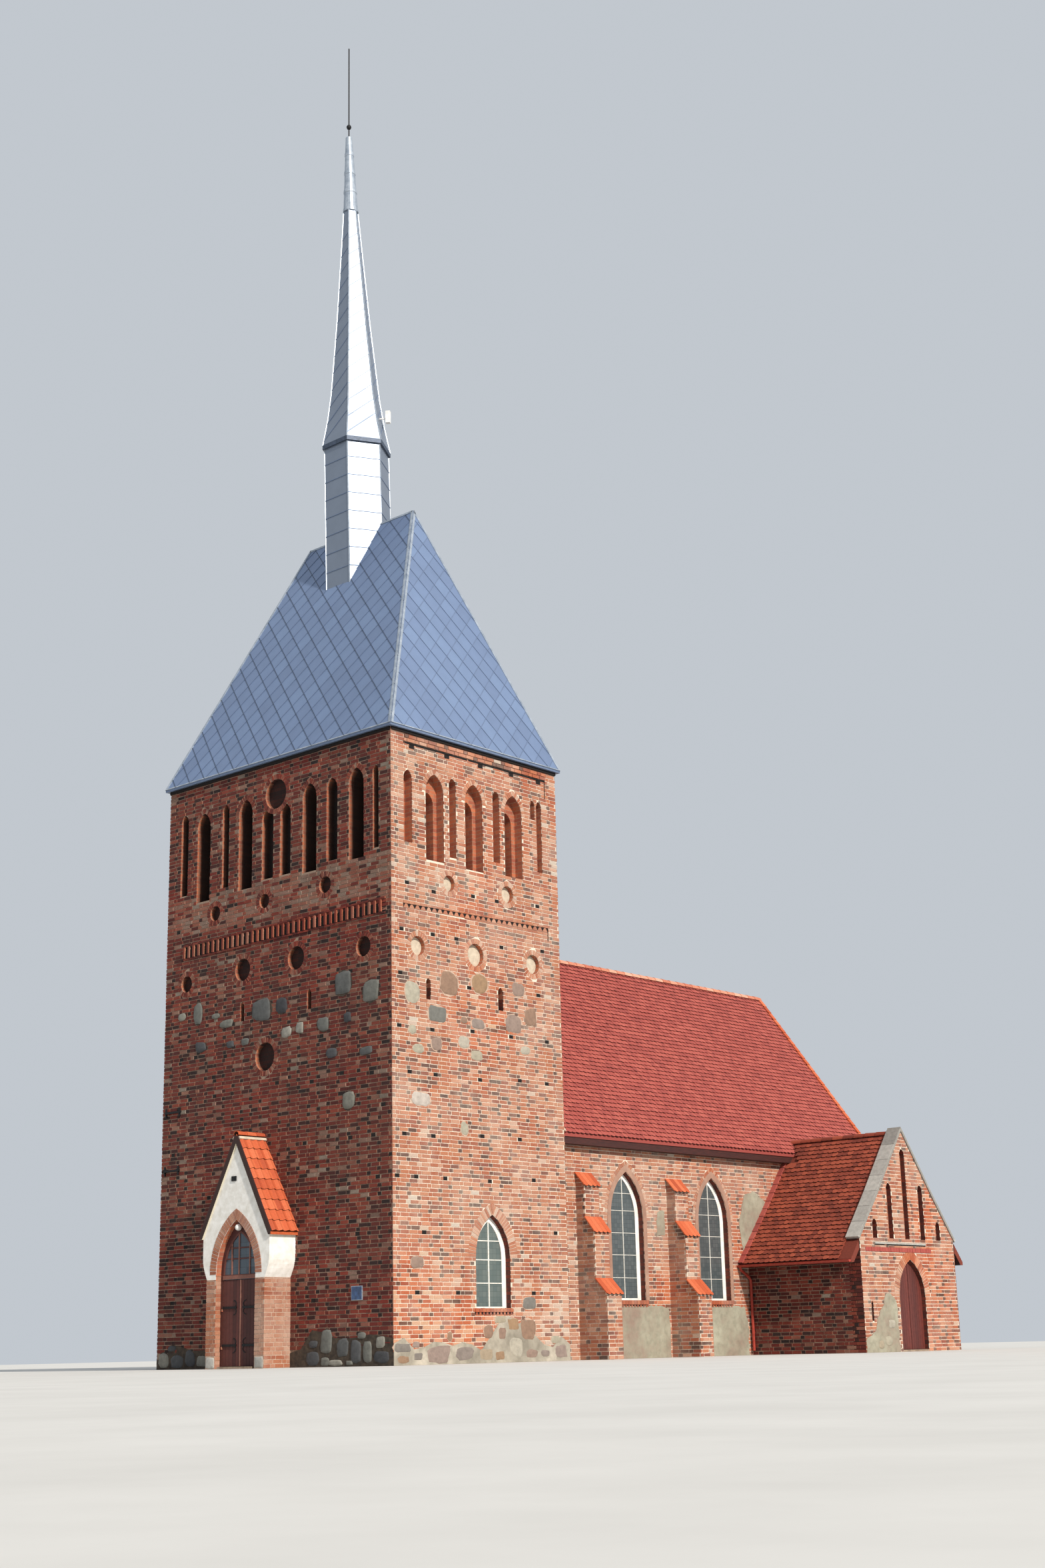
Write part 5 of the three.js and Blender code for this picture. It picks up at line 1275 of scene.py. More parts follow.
def tilted_plate(pile, plane, outline, tops, thick):
    pile.prism(plane, outline, tops, [top - thick for top in tops], draw.random())


def lay_tiles(pile, plane, left, right, height):
    """Plain tiles in lapping rows; left and right give the slope's ends at a height up the slope."""
    for row in range(math.ceil(height / TILE_SHOWN)):
        low = row * TILE_SHOWN - TILE_OVERHANG
        high = min(low + TILE_LENGTH, height)
        if high - low < LEAST_TILE_LENGTH:
            continue
        start, end = left(low), right(low)
        u = start - (row % 2) * TILE_WIDTH / 2
        while u < end:
            a, b = max(u, start) + TILE_GAP, min(u + TILE_WIDTH, end) - TILE_GAP
            u += TILE_WIDTH
            if b - a < LEAST_TILE_WIDTH:
                continue
            lift = TILE_LIFT + draw.uniform(-TILE_UNEVEN, TILE_UNEVEN)
            outline = rounded_tile(a, b, low, high, (b - a) * CORNER_SAG, TILE_TOE)
            tops = [lift - (v - low) / TILE_LENGTH * TILE_FALL for _, v in outline]
            tilted_plate(pile, plane, outline, tops, TILE_THICK)


def half_round(pile, start, end, radius):
    """A half-round tile from start to end, open below, with a small lap at its end."""
    along = (end - start).normalized()
    across = along.cross(Vector((0, 0, 1))).normalized()
    up = across.cross(along)
    angles = [math.pi * i / ROUND_STEPS for i in range(ROUND_STEPS + 1)]
    directions = [across * math.cos(angle) + up * math.sin(angle) for angle in angles]
    rings = []
    for place, reach in ((start, radius * WIDE_END), (end, radius * NARROW_END)):
        outer = [place + direction * reach for direction in directions]
        inner = [place + direction * (reach - ROUND_THICK) for direction in directions]
        rings.append(outer + inner[::-1])
    pile.skin(rings, draw.random())


def lay_ridge(name, start, end, radius, length, look, slot=None):
    pile = Pile()
    start, end = Vector(start), Vector(end)
    count = max(1, round((end - start).length / length))
    step = (end - start) / count
    for i in range(count):
        half_round(pile, start + step * i, start + step * (i + 1), radius)
    pile.build(name, look, slot=slot)


def verge_tiles(pile, plane, u, height):
    """Edge tiles that run up a verge, in whole lengths."""
    count = round(height / EDGE_TILE)
    step = height / count
    for i in range(count):
        low, high = i * step, (i + 1) * step + EDGE_LAP
        outline = [(u - EDGE_WIDTH, low), (u, low), (u, high), (u - EDGE_WIDTH, high)]
        tops = [EDGE_LOW_TOP, EDGE_LOW_TOP, EDGE_HIGH_TOP, EDGE_HIGH_TOP]
        tilted_plate(pile, plane, outline, tops, EDGE_THICK)


verge, flashing = Pile(), Pile()
for side, name in ((1, "tiles_nave_south"), (-1, "tiles_nave_north")):
    plane, height = slope((side * NAVE_EAVE_X, 0, NAVE_EAVE_Z), (0, 0, NAVE_RIDGE_Z), ALONG_Y, side)
    pile = Pile()
    lay_tiles(pile, plane, lambda v: NAVE_START_Y + 0.01, lambda v: NAVE_VERGE_Y - 0.1,
              height - NAVE_TILES_SHORT)
    pile.build(name, "red_tile")
    verge_tiles(verge, plane, NAVE_VERGE_Y, height - NAVE_EDGES_SHORT)
    flashing.block(plane, NAVE_START_Y, NAVE_START_Y + FLASHING_WIDTH, 0.0, height - NAVE_EDGES_SHORT,
                   FLASHING_HEIGHT, 0.0)
verge.build("verge_nave", "orange_tile", slot="red_tile")
flashing.build("flashing_nave", "sunlit_mortar")
ridge_z = NAVE_RIDGE_Z - 0.03
lay_ridge("ridge_nave", (0, NAVE_START_Y + 0.01, ridge_z), (0, NAVE_VERGE_Y - 0.01, ridge_z), 0.12,
          RIDGE_TILE, "ridge_tile")


# Pantiles on the porch
PANTILE_WIDTH = 0.2
PANTILE_ROWS = 9
PANTILE_THICK = 0.014
PANTILE_STEPS = 8
PANTILE_LAP = 0.05
PANTILE_FOOT = 0.018
PANTILE_WAVE = 0.045
PANTILE_LIFT = 0.028
PANTILES_SHORT = 0.14
# The porch's verge boards: from and to behind the verge, length short of the ridge, and height
VERGE_BOARD = (0.002, 0.018)
VERGE_BOARD_SHORT = 0.06
VERGE_BOARD_HEIGHT = 0.04
# The mortar along its ridge: foot and head below the ridge, and height
BEDDING = (0.17, 0.1)
BEDDING_HEIGHT = 0.072
# The rounded part takes up four fifths of a tile's width
WAVE_SHARE = 1.25


def lay_pantiles(pile, plane, left, right, height):
    """S-shaped tiles whose lower ends stand over the rows below."""
    shown = height / PANTILE_ROWS
    count = round((right - left) / PANTILE_WIDTH)
    width = (right - left) / count
    for row in range(PANTILE_ROWS):
        low = row * shown
        high = min(low + shown + PANTILE_LAP, height)
        for i in range(count):
            profile = []
            for k in range(PANTILE_STEPS + 1):
                share = k / PANTILE_STEPS
                wave = 0.5 - 0.5 * math.cos(2 * math.pi * min(1.0, share * WAVE_SHARE))
                profile.append((left + i * width + width * share, PANTILE_FOOT + PANTILE_WAVE * wave))
            rings = []
            for v, lift in ((low, PANTILE_LIFT), (high, 0.0)):
                top = [plane.at(u, v, out + lift) for u, out in profile]
                foot = [plane.at(u, v, out + lift - PANTILE_THICK) for u, out in profile]
                rings.append(top + foot[::-1])
            pile.skin(rings, draw.random(), plane.side < 0)


pile, bedding, verge_boards = Pile(), Pile(), Pile()
for side in (1, -1):
    foot, head = (PORCH_X + side * PORCH_EAVE_HALF, 0, PORCH_EAVE_Z), (PORCH_X, 0, PORCH_RIDGE_Z)
    plane, height = slope(foot, head, ALONG_Y, side)
    front, back = (PORCH_VERGE_Y + behind for behind in VERGE_BOARD)
    verge_boards.block(plane, front, back, 0.0, height - VERGE_BOARD_SHORT, VERGE_BOARD_HEIGHT, 0.0, 0.0)
    lay_pantiles(pile, plane, PORCH_VERGE_Y + 0.02, -TOWER_HALF_Y, height - PANTILES_SHORT)
    low, high = (height - down for down in BEDDING)
    bedding.block(plane, PORCH_VERGE_Y + 0.01, -TOWER_HALF_Y, low, high, BEDDING_HEIGHT, 0.0)
pile.build("tiles_porch", "orange_tile")
bedding.build("bedding_porch", "sunlit_mortar")
verge_boards.build("verge_boards_porch", "old_wood")
ridge_z = PORCH_RIDGE_Z - 0.02
lay_ridge("ridge_porch", (PORCH_X, PORCH_VERGE_Y, ridge_z), (PORCH_X, -TOWER_HALF_Y, ridge_z), 0.1, EDGE_TILE,
          "orange_tile")


# Chapel roof


def chapel_slopes(side, outline):
    """The slopes on one side through places out from the middle and up, each with its length and heights."""
    for (out0, z0), (out1, z1) in zip(outline, outline[1:]):
        foot, head = (0, CHAPEL_MID_Y + side * out0, z0), (0, CHAPEL_MID_Y + side * out1, z1)
        yield (*slope(foot, head, ALONG_X, -side), z0, z1)


def chapel_start(z):
    """Where the chapel's roof comes out of the nave's wall or roof at a height."""
    if z < NAVE_EAVE_Z - 0.4:
        return NAVE_HALF_X
    return max(NAVE_EAVE_X if z < NAVE_EAVE_Z else 0.0, (NAVE_RIDGE_Z - z) / NAVE_PITCH)


edge = Pile()
chapel_outline = [(CHAPEL_EAVE_OUT, CHAPEL_EAVE_Z), (CHAPEL_KINK_OUT, CHAPEL_KINK_Z), (0, CHAPEL_RIDGE_Z)]
for side, name in ((-1, "tiles_chapel_west"), (1, "tiles_chapel_east")):
    pile = Pile()
    for plane, length, z0, z1 in chapel_slopes(side, chapel_outline):
        lay_tiles(pile, plane, lambda v: chapel_start(z0 + v * (z1 - z0) / length),
                  lambda v: CHAPEL_GABLE_X - 0.005, length + 0.02)
        verge_tiles(edge, plane, NAVE_HALF_X + 0.17, length * (1 if z1 < NAVE_EAVE_Z else 0.7))
    pile.build(name, "chapel_tile")
edge.build("edge_chapel", "red_tile")
ridge_z = CHAPEL_RIDGE_Z - 0.02
lay_ridge("ridge_chapel", (chapel_start(CHAPEL_RIDGE_Z) + 0.02, CHAPEL_MID_Y, ridge_z),
          (CHAPEL_GABLE_X, CHAPEL_MID_Y, ridge_z), 0.11, RIDGE_TILE, "chapel_tile")


# Tower roof: large metal diamonds with folded seams
DIAMOND_WIDTH = 0.62
DIAMOND_HEIGHT = 0.7
ROOF_RIDGE_HALF = 2.125
ROOF_EAVE_Z = roof_low.z + 0.06
SEAM_HALF = 0.009
SEAM_PROUD = 0.022
SEAM_FOOT = 0.002
# A diamond's upper corner lies lower than its foot, which laps over the diamonds below
DIAMOND_PROUD = 0.014
DIAMOND_FALL = 0.006
# The least areas of a clipped diamond and of a clipped seam that are laid
LEAST_DIAMOND = 0.004
LEAST_SEAM = 0.0005
# Caps along the hips and the ridge, and the drip edge
HIP_WIDTH = 0.07
HIP_PROUD = 0.026
CAP_FOOT = 0.004
DRIP_WIDTH = 0.03
DRIP_INSET = 0.02
DRIP_PROUD = 0.022


def clip(outline, a, b):
    """The part of an outline to the left of the line from a to b."""
    sides = [(b[0] - a[0]) * (point[1] - a[1]) - (b[1] - a[1]) * (point[0] - a[0]) for point in outline]
    kept = []
    for i, point in enumerate(outline):
        previous, side, before = outline[i - 1], sides[i], sides[i - 1]
        if (side >= 0) != (before >= 0):
            share = before / (before - side)
            kept.append(tuple(previous[k] + (point[k] - previous[k]) * share for k in (0, 1)))
        if side >= 0:
            kept.append(point)
    return kept


def clipped(outline, border):
    for i, start in enumerate(border):
        if len(outline) > 2:
            outline = clip(outline, start, border[(i + 1) % len(border)])
    return outline


def covers(outline, least):
    """Whether an outline has more than the least area."""
    area = sum(outline[i - 1][0] * p[1] - p[0] * outline[i - 1][1] for i, p in enumerate(outline)) / 2
    return len(outline) > 2 and area > least


def roof_slopes():
    """The tower roof's four faces, each with its border and whether it is one of the long ones."""
    half_x, half_y, rise = roof_high.x, roof_high.y, roof_high.z - ROOF_EAVE_Z
    inset = half_x - ROOF_RIDGE_HALF
    slopes = []
    for side in (-1, 1):
        plane = Plane((0, side * half_y, ROOF_EAVE_Z), ALONG_X, (0, -side * half_y, rise), -side)
        height = math.hypot(half_y, rise)
        border = [(-half_x, 0), (half_x, 0), (ROOF_RIDGE_HALF, height), (-ROOF_RIDGE_HALF, height)]
        slopes.append((plane, border, True))
        plane = Plane((side * half_x, 0, ROOF_EAVE_Z), ALONG_Y, (-side * inset, 0, rise), side)
        slopes.append((plane, [(-half_y, 0), (half_y, 0), (0, math.hypot(inset, rise))], False))
    return slopes


def lay_diamonds(pile, plane, border):
    rows = math.ceil(max(v for _, v in border) / (DIAMOND_HEIGHT / 2)) + 1
    columns = math.ceil(max(u for u, _ in border) / DIAMOND_WIDTH) + 1
    for row in range(-1, rows):
        for column in range(-columns, columns + 1):
            u = (column + 0.5 * (row % 2)) * DIAMOND_WIDTH
            v = row * DIAMOND_HEIGHT / 2
            foot, head = v - DIAMOND_HEIGHT / 2, v + DIAMOND_HEIGHT / 2
            shape = [(u, foot), (u + DIAMOND_WIDTH / 2, v), (u, head), (u - DIAMOND_WIDTH / 2, v)]
            cell = clipped(shape, border)
            if covers(cell, LEAST_DIAMOND):
                tops = [DIAMOND_PROUD - DIAMOND_FALL * (cell_v - foot) / DIAMOND_HEIGHT for _, cell_v in cell]
                pile.prism(plane, cell, tops, 0.0, draw.random())


def lay_seams(pile, plane, border, turn):
    """Standing seams that fall to the right for a turn of 1 and to the left for -1."""
    height = max(v for _, v in border)
    pitch = DIAMOND_HEIGHT / DIAMOND_WIDTH
    reach = math.ceil((max(u for u, _ in border) + height / pitch) / DIAMOND_WIDTH) + 1
    for k in range(-reach, reach + 1):
        u = (k + 0.5) * DIAMOND_WIDTH
        top = u - turn * height / pitch
        strip = [(u - SEAM_HALF, -0.001), (u + SEAM_HALF, -0.001), (top + SEAM_HALF, height),
                 (top - SEAM_HALF, height)]
        cell = clipped(strip, border)
        if covers(cell, LEAST_SEAM):
            pile.prism(plane, cell, SEAM_PROUD, SEAM_FOOT)


def hip_caps(pile, plane, border):
    """Folded strips along the face's upper edges, and a drip edge at its foot."""
    for start, end in zip(border[1:], border[2:] + border[:1]):
        direction = Vector((end[0] - start[0], end[1] - start[1])).normalized()
        inward = Vector((-direction.y, direction.x)) * HIP_WIDTH
        strip = [start, end, tuple(Vector(end) + inward), tuple(Vector(start) + inward)]
        pile.prism(plane, clipped(strip, border), HIP_PROUD, CAP_FOOT)
    low, high = border[0], border[1]
    drip = [low, high, (high[0] - DRIP_INSET, DRIP_WIDTH), (low[0] + DRIP_INSET, DRIP_WIDTH)]
    pile.prism(plane, drip, DRIP_PROUD, CAP_FOOT)


sheets, dark_seams, soft_seams, caps = (Pile() for _ in range(4))
for plane, border, long_face in roof_slopes():
    lay_diamonds(sheets, plane, border)
    lay_seams(dark_seams if long_face else soft_seams, plane, border, 1)
    lay_seams(soft_seams, plane, border, -1)
    hip_caps(caps, plane, border)
sheets.build("sheets_tower_roof", "sheet_metal")
dark_seams.build("seams_tower_roof", "seam_dark")
soft_seams.build("folds_tower_roof", "seam_soft")
caps.build("hips_tower_roof", "pale_metal")


# Spire: folded seams on the shaft and on the flare, and the dark band under its eave
SPIRE_X = -0.06
SPIRE_LEAN = 0.0323
LEAN_START = 22.0
# Heights and radii of the flare's corners
SPIRE_PROFILE = [
    (25.62, 1.007), (26.45, 0.845), (27.315, 0.723), (29.636, 0.51), (32.4, 0.3), (33.51, 0.222),
]
SPIRE_FOOT, SPIRE_TOP = SPIRE_PROFILE[0][0], SPIRE_PROFILE[-1][0]
SHAFT_RADIUS = 0.954
SHAFT_FOOT = 20.8
SPIRE_SEAM_STEP = 0.56
SPIRE_BAND = (25.5, 25.63)
SHAFT_PROFILE = [(SHAFT_FOOT, SHAFT_RADIUS), (SPIRE_BAND[0], SHAFT_RADIUS)]
# Height of the seams and ribs, and their widths on the shaft, on the flare and along its edges
SEAM_RISE = 0.012
SHAFT_SEAM = 0.018
FLARE_SEAM = 0.014
RIB_WIDTH = 0.03


def spire_corner(z, radius, k):
    angle = math.pi / 3 * k
    axis = SPIRE_X - SPIRE_LEAN * max(0.0, z - LEAN_START)
    return Vector((axis + radius * math.cos(angle), radius * math.sin(angle), z))


def spire_radius(z):
    for (z0, r0), (z1, r1) in zip(SPIRE_PROFILE, SPIRE_PROFILE[1:]):
        if z <= z1:
            return r0 + (r1 - r0) * (z - z0) / (z1 - z0)
    return SPIRE_PROFILE[-1][1]


def towards(k):
    """Outward from the spire's axis, in sixths of a turn."""
    return Matrix.Rotation(math.pi / 3 * k, 3, "Z") @ Vector((1, 0, 0))


folds, ribs, band = Pile(), Pile(), Pile()
for k in range(6):
    normal = towards(k + 0.5)
    z = SHAFT_FOOT + SPIRE_SEAM_STEP / 2
    while z < SPIRE_BAND[0] - 0.1:
        start, end = spire_corner(z, SHAFT_RADIUS, k), spire_corner(z, SHAFT_RADIUS, k + 1)
        folds.bar(start, end, normal, SHAFT_SEAM, SEAM_RISE, 0.004)
        z += SPIRE_SEAM_STEP
    z = SPIRE_FOOT + 0.13
    while z < SPIRE_TOP - 0.5:
        top = z + spire_radius(z) * 0.8
        if top < SPIRE_TOP - 0.1:
            start = spire_corner(z, spire_radius(z), k)
            end = spire_corner(top, spire_radius(top), k + 1)
            folds.bar(start, end, normal, FLARE_SEAM, SEAM_RISE, 0.02)
        z += SPIRE_SEAM_STEP
    for run in (SHAFT_PROFILE, SPIRE_PROFILE):
        for (z0, r0), (z1, r1) in zip(run, run[1:]):
            start, end = spire_corner(z0, r0, k), spire_corner(z1, r1, k)
            ribs.bar(start, end, towards(k), RIB_WIDTH, SEAM_RISE, 0.01)
    start, end = (spire_corner(SPIRE_BAND[0], SHAFT_RADIUS + 0.05, corner) for corner in (k, k + 1))
    plane = Plane(start, end - start, (0, 0, 1))
    band.block(plane, 0, (end - start).length, 0, SPIRE_BAND[1] - SPIRE_BAND[0], SEAM_RISE, -0.05)
folds.build("folds_spire", "seam_soft")
ribs.build("ribs_spire", "pale_metal")
band.build("band_spire", "seam_dark")


# Windows: plaster rings, bars and sills
TOWER_BARS = (1.89, 2.45, 2.91)
NAVE_BARS = (2.09, 2.69, 3.27, 3.86, 4.32)
TOWER_BAR_HALF = 0.02
NAVE_BAR_HALF = 0.011
SURROUND = 0.15
SILL_BRICK = 0.125
SILL_OVERHANG = 0.06
DISC_THICK = 0.012
DISC_EDGE = 0.012
# The teeth under a sill: where they start and end, as shares of a brick, and how far down they reach
SILL_TOOTH = (0.2, 0.75)
SILL_TOOTH_HEIGHT = 0.06
# The height of each kind of sill, and how far it stands out
TOWER_SILL = (0.07, 0.035)
NAVE_SILL = (0.11, 0.06)


def glazed_window(rings, bars, plane, middle, sizes, levels, thick):
    half, sill, spring, top = sizes
    outer = arch_outline(middle, half - 0.002, sill, spring, top - 0.002)
    half, sill, top = half - WINDOW_FRAME, sill + SILL_LIP, top - WINDOW_FRAME
    inner = arch_outline(middle, half, sill, spring, top)
    depth = -WINDOW_REVEAL
    rings.band(plane, outer, inner, depth + 0.006, depth - 0.002)
    arch = ArchCut(middle, half, sill, top, spring)
    bars.block(plane, middle - thick, middle + thick, sill, top - 0.01, depth + 0.014, depth - 0.01)
    for v in levels:
        reach = half if v < spring else arch.half_at(v)
        low, high = v - thick * 0.6, v + thick * 0.6
        bars.block(plane, middle - reach, middle + reach, low, high, depth + 0.011, depth - 0.01)


def brick_sill(pile, plane, middle, half, top, height, proud):
    """A row of headers that stands out, on small teeth over a gap painted dark as shadow."""
    reach = half + SILL_OVERHANG
    count = round(2 * reach / SILL_BRICK)
    step = 2 * reach / count
    foot = top - height
    for i in range(count):
        u = middle - reach + i * step
        pile.block(plane, u + GAP, u + step - GAP, foot, top, proud, -WINDOW_REVEAL, draw.uniform(0.35, 0.65))
        left, right = (u + step * share for share in SILL_TOOTH)
        pile.block(plane, left, right, foot - SILL_TOOTH_HEIGHT, foot - 0.003, proud * 0.5,
                   tone=draw.uniform(0.3, 0.6))
    # Painted shadow under the sill
    dark.block(plane, middle - reach, middle + reach, foot - 0.062, foot, SHADOW_PROUD)


plaster_rings, window_bars, sills_south, sills_shaded = (Pile() for _ in range(4))
tower_kind = (window_sizes, TOWER_BARS, TOWER_BAR_HALF, *TOWER_SILL)
nave_kind = (NAVE_WINDOW, NAVE_BARS, NAVE_BAR_HALF, *NAVE_SILL)
for plane, places, sills, (sizes, levels, thick, height, proud) in (
    (tower_south, (window_middle,), sills_south, tower_kind),
    (tower_north, (window_middle,), sills_shaded, tower_kind),
    (nave_south, SOUTH_WINDOWS, sills_south, nave_kind),
    (nave_north, NORTH_WINDOWS, sills_shaded, nave_kind),
    (nave_east, (0,), sills_shaded, nave_kind),
):
    for place in places:
        glazed_window(plaster_rings, window_bars, plane, place, sizes, levels, thick)
        brick_sill(sills, plane, place, sizes[0], sizes[1], height, proud)
plaster_rings.build("plaster_rings", "lime_plaster")
discs, surrounds = Pile(), Pile()
for middle, height, radius in SHORT_ROUNDELS:
    outline = circle_outline(middle, height, radius - DISC_EDGE)
    for plane in (tower_south, tower_north):
        discs.prism(plane, outline, DISC_THICK - ROUNDEL_DEPTH, -ROUNDEL_DEPTH)
for place in SOUTH_WINDOWS:
    outer = arch_outline(place, nave_half + SURROUND, nave_sill, nave_spring, nave_top + SURROUND * 1.3)
    inner = arch_outline(place, nave_half + 0.004, nave_sill, nave_spring, nave_top + 0.006)
    surrounds.band(nave_south, outer, inner, PATCH_PROUD)
discs.build("discs_roundels", "sunlit_mortar")
surrounds.build("surrounds_nave", "pink_plaster")
window_bars.build("window_bars", "white_bar")
sills_south.build("sills_south", "brick_sunlit")
sills_shaded.build("sills_shaded", "brick_shaded")


# Plaster patches with ragged edges on the nave and the chapel
NAVE_PATCHES = (
    [(5.46, 0), (7.79, 0), (7.8, 0.6), (7.75, 1.3), (7.3, 1.38), (6.4, 1.33), (5.5, 1.36)],
    [(9.68, 0), (11.42, 0), (11.4, 0.8), (11.3, 1.3), (10.6, 1.38), (9.7, 1.34)],
    [(11.4, 2.5), (12.0, 3.1), (12.5, 3.75), (12.5, 4.35), (12.05, 4.6), (11.5, 4.5), (11.2, 3.7)],
    [(7.35, 3.2), (7.72, 3.25), (7.7, 3.9), (7.4, 3.85)],
)
CHAPEL_PATCHES = (
    [(11.59, 0), (13.3, 0), (13.3, 1.3), (13.05, 1.55), (12.72, 1.55), (12.5, 1.2), (12.3, 1.0), (12.1, 0.55),
     (11.59, 0.35)],
)
RAGGED_REACH = 0.035
RAGGED_STEP = 0.12


def ragged(outline):
    """The same outline with its edges broken up at random, except along the ground."""
    broken = []
    for (u0, v0), (u1, v1) in zip(outline, outline[1:] + outline[:1]):
        count = max(1, round(math.hypot(u1 - u0, v1 - v0) / RAGGED_STEP))
        for i in range(count):
            place = (u0 + (u1 - u0) * i / count, v0 + (v1 - v0) * i / count)
            if place[1] > 0.02:
                place = tuple(value + draw.uniform(-RAGGED_REACH, RAGGED_REACH) for value in place)
            broken.append(place)
    return broken


patches = Pile()
for plane, outlines in ((nave_south, NAVE_PATCHES), (chapel_south, CHAPEL_PATCHES)):
    for outline in outlines:
        patches.prism(plane, ragged(outline), PATCH_PROUD)
patches.build("plaster_patches", "old_plaster")
free_stones(pink, pale_bed, chapel_south, CHAPEL_STONES, 0.03)
pink.build("field_stones_south", "pink_stone", smooth=True)
grey.build("field_stones_west", "grey_stone", smooth=True)
pale_bed.build("stone_mortar_south", "pier_mortar")
dark_bed.build("stone_mortar_west", "shaded_mortar")


# Buttress caps of rounded tiles
CAP_TILES = 4
CAP_OVERHANG = 0.06
CAP_SAG = 0.04
CAP_THICK = 0.028
# Heights of a cap tile at its lower and at its upper end
CAP_LOW_TOP = 0.055
CAP_HIGH_TOP = 0.03


def buttress_caps(name, sign, places):
    """On the north side the lowest cap keeps clear of the buttress's outer face."""
    pile = Pile()
    reach = BUTTRESS_HALF + CAP_OVERHANG
    step = 2 * reach / CAP_TILES
    for y in places:
        inner = 0.0
        for out, cap_top, cap_foot in BUTTRESS_STEPS:
            outer_foot = (sign * (NAVE_HALF_X + out), 0, cap_foot)
            inner_head = (sign * (NAVE_HALF_X + inner), 0, cap_top)
            plane, length = slope(outer_foot, inner_head, ALONG_Y, sign)
            foot = -0.05 if sign > 0 else 0.07 if out == BUTTRESS_REACH else 0.0
            for i in range(CAP_TILES):
                a, b = y - reach + i * step + TILE_GAP, y - reach + (i + 1) * step - TILE_GAP
                inset = step * CORNER_INSET
                corner = foot + CAP_SAG
                outline = [(a, corner), (a + inset, foot), (b - inset, foot), (b, corner),
                           (b, length), (a, length)]
                tops = [CAP_LOW_TOP if v < foot + 0.05 else CAP_HIGH_TOP for _, v in outline]
                tilted_plate(pile, plane, outline, tops, CAP_THICK)
            inner = out
    pile.build(name, "orange_tile")


buttress_caps("caps_buttress_south", 1, SOUTH_BUTTRESSES)
buttress_caps("caps_buttress_north", -1, NORTH_BUTTRESSES)


# Porch: brick piers, the arch round the recess, the wood frame and base stones
PORCH_RING = 0.23
BASE_STONE_TOP = 0.29
TRANSOM_Z = 2.2
FANLIGHT_BARS = (-0.33, -0.06, 0.34)
FANLIGHT_LEVELS = (2.62, 2.88)
FANLIGHT_BAR_HALF = 0.018
FANLIGHT_RAIL_HALF = 0.016
TRANSOM_FOOT = 2.128
BASE_STONE_POWER = 7.0
# The heights of the mortar under the porch's bricks and of the bricks in its jambs
PORCH_BED = 0.004
JAMB_PROUD = 0.004
PIER_TONES = (0.45, 0.82)
PORCH_BRICKS_FROM = 0.3


def porch_tone(u, v, header):
    return draw.uniform(*PIER_TONES)


def porch_bricks():
    pile, bed = Pile(), Pile()
    half, spring, top = PORCH_RECESS
    recess = ArchCut(PORCH_X, half, 0, top, spring, PORCH_RING)
    corner = PORCH_BRICK_HALF + BRICK_PROUD
    piers = {side: sorted((PORCH_X + side * half, PORCH_X + side * PORCH_BRICK_HALF)) for side in (-1, 1)}
    for a, b in piers.values():
        bed.block(porch_west, a, b, 0, PORCH_BRICK_TOP, PORCH_BED, -0.002)
    edges = straight(PORCH_X - corner, PORCH_X + corner)
    lay_courses(pile, porch_west, PORCH_BRICKS_FROM, PORCH_BRICK_TOP, edges, [recess], porch_tone)
    recess.lay_ring(pile, porch_west, (0.42, 0.75), SMOOTH_TILT)
    for side, (a, b) in piers.items():
        plane = face_x(PORCH_X + side * PORCH_BRICK_HALF, side)
        lay_courses(pile, plane, 0, PORCH_BRICK_TOP, straight(PORCH_FRONT_Y, -TOWER_HALF_Y), tone=porch_tone)
        bed.block(plane, PORCH_FRONT_Y, -TOWER_HALF_Y, 0, PORCH_BRICK_TOP, PORCH_BED, -0.002)
        jamb = face_x(PORCH_X + side * half, -side)
        lay_courses(pile, jamb, 0, spring, straight(PORCH_FRONT_Y, PORCH_DOOR_Y), tone=porch_tone,
                    proud=JAMB_PROUD)
        base_stone = Pile()
        corners = [(a, 0), (b, 0), (b, BASE_STONE_TOP), (a, BASE_STONE_TOP)]
        stone(base_stone, porch_west, corners, BASE_STONE_POWER, 0.02)
        base_stone.build("base_stone_" + ("south" if side > 0 else "north"), "coping_stone", smooth=True)
    bed.build("mortar_porch", "pier_mortar")
    pile.build("bricks_porch", "brick_pier")


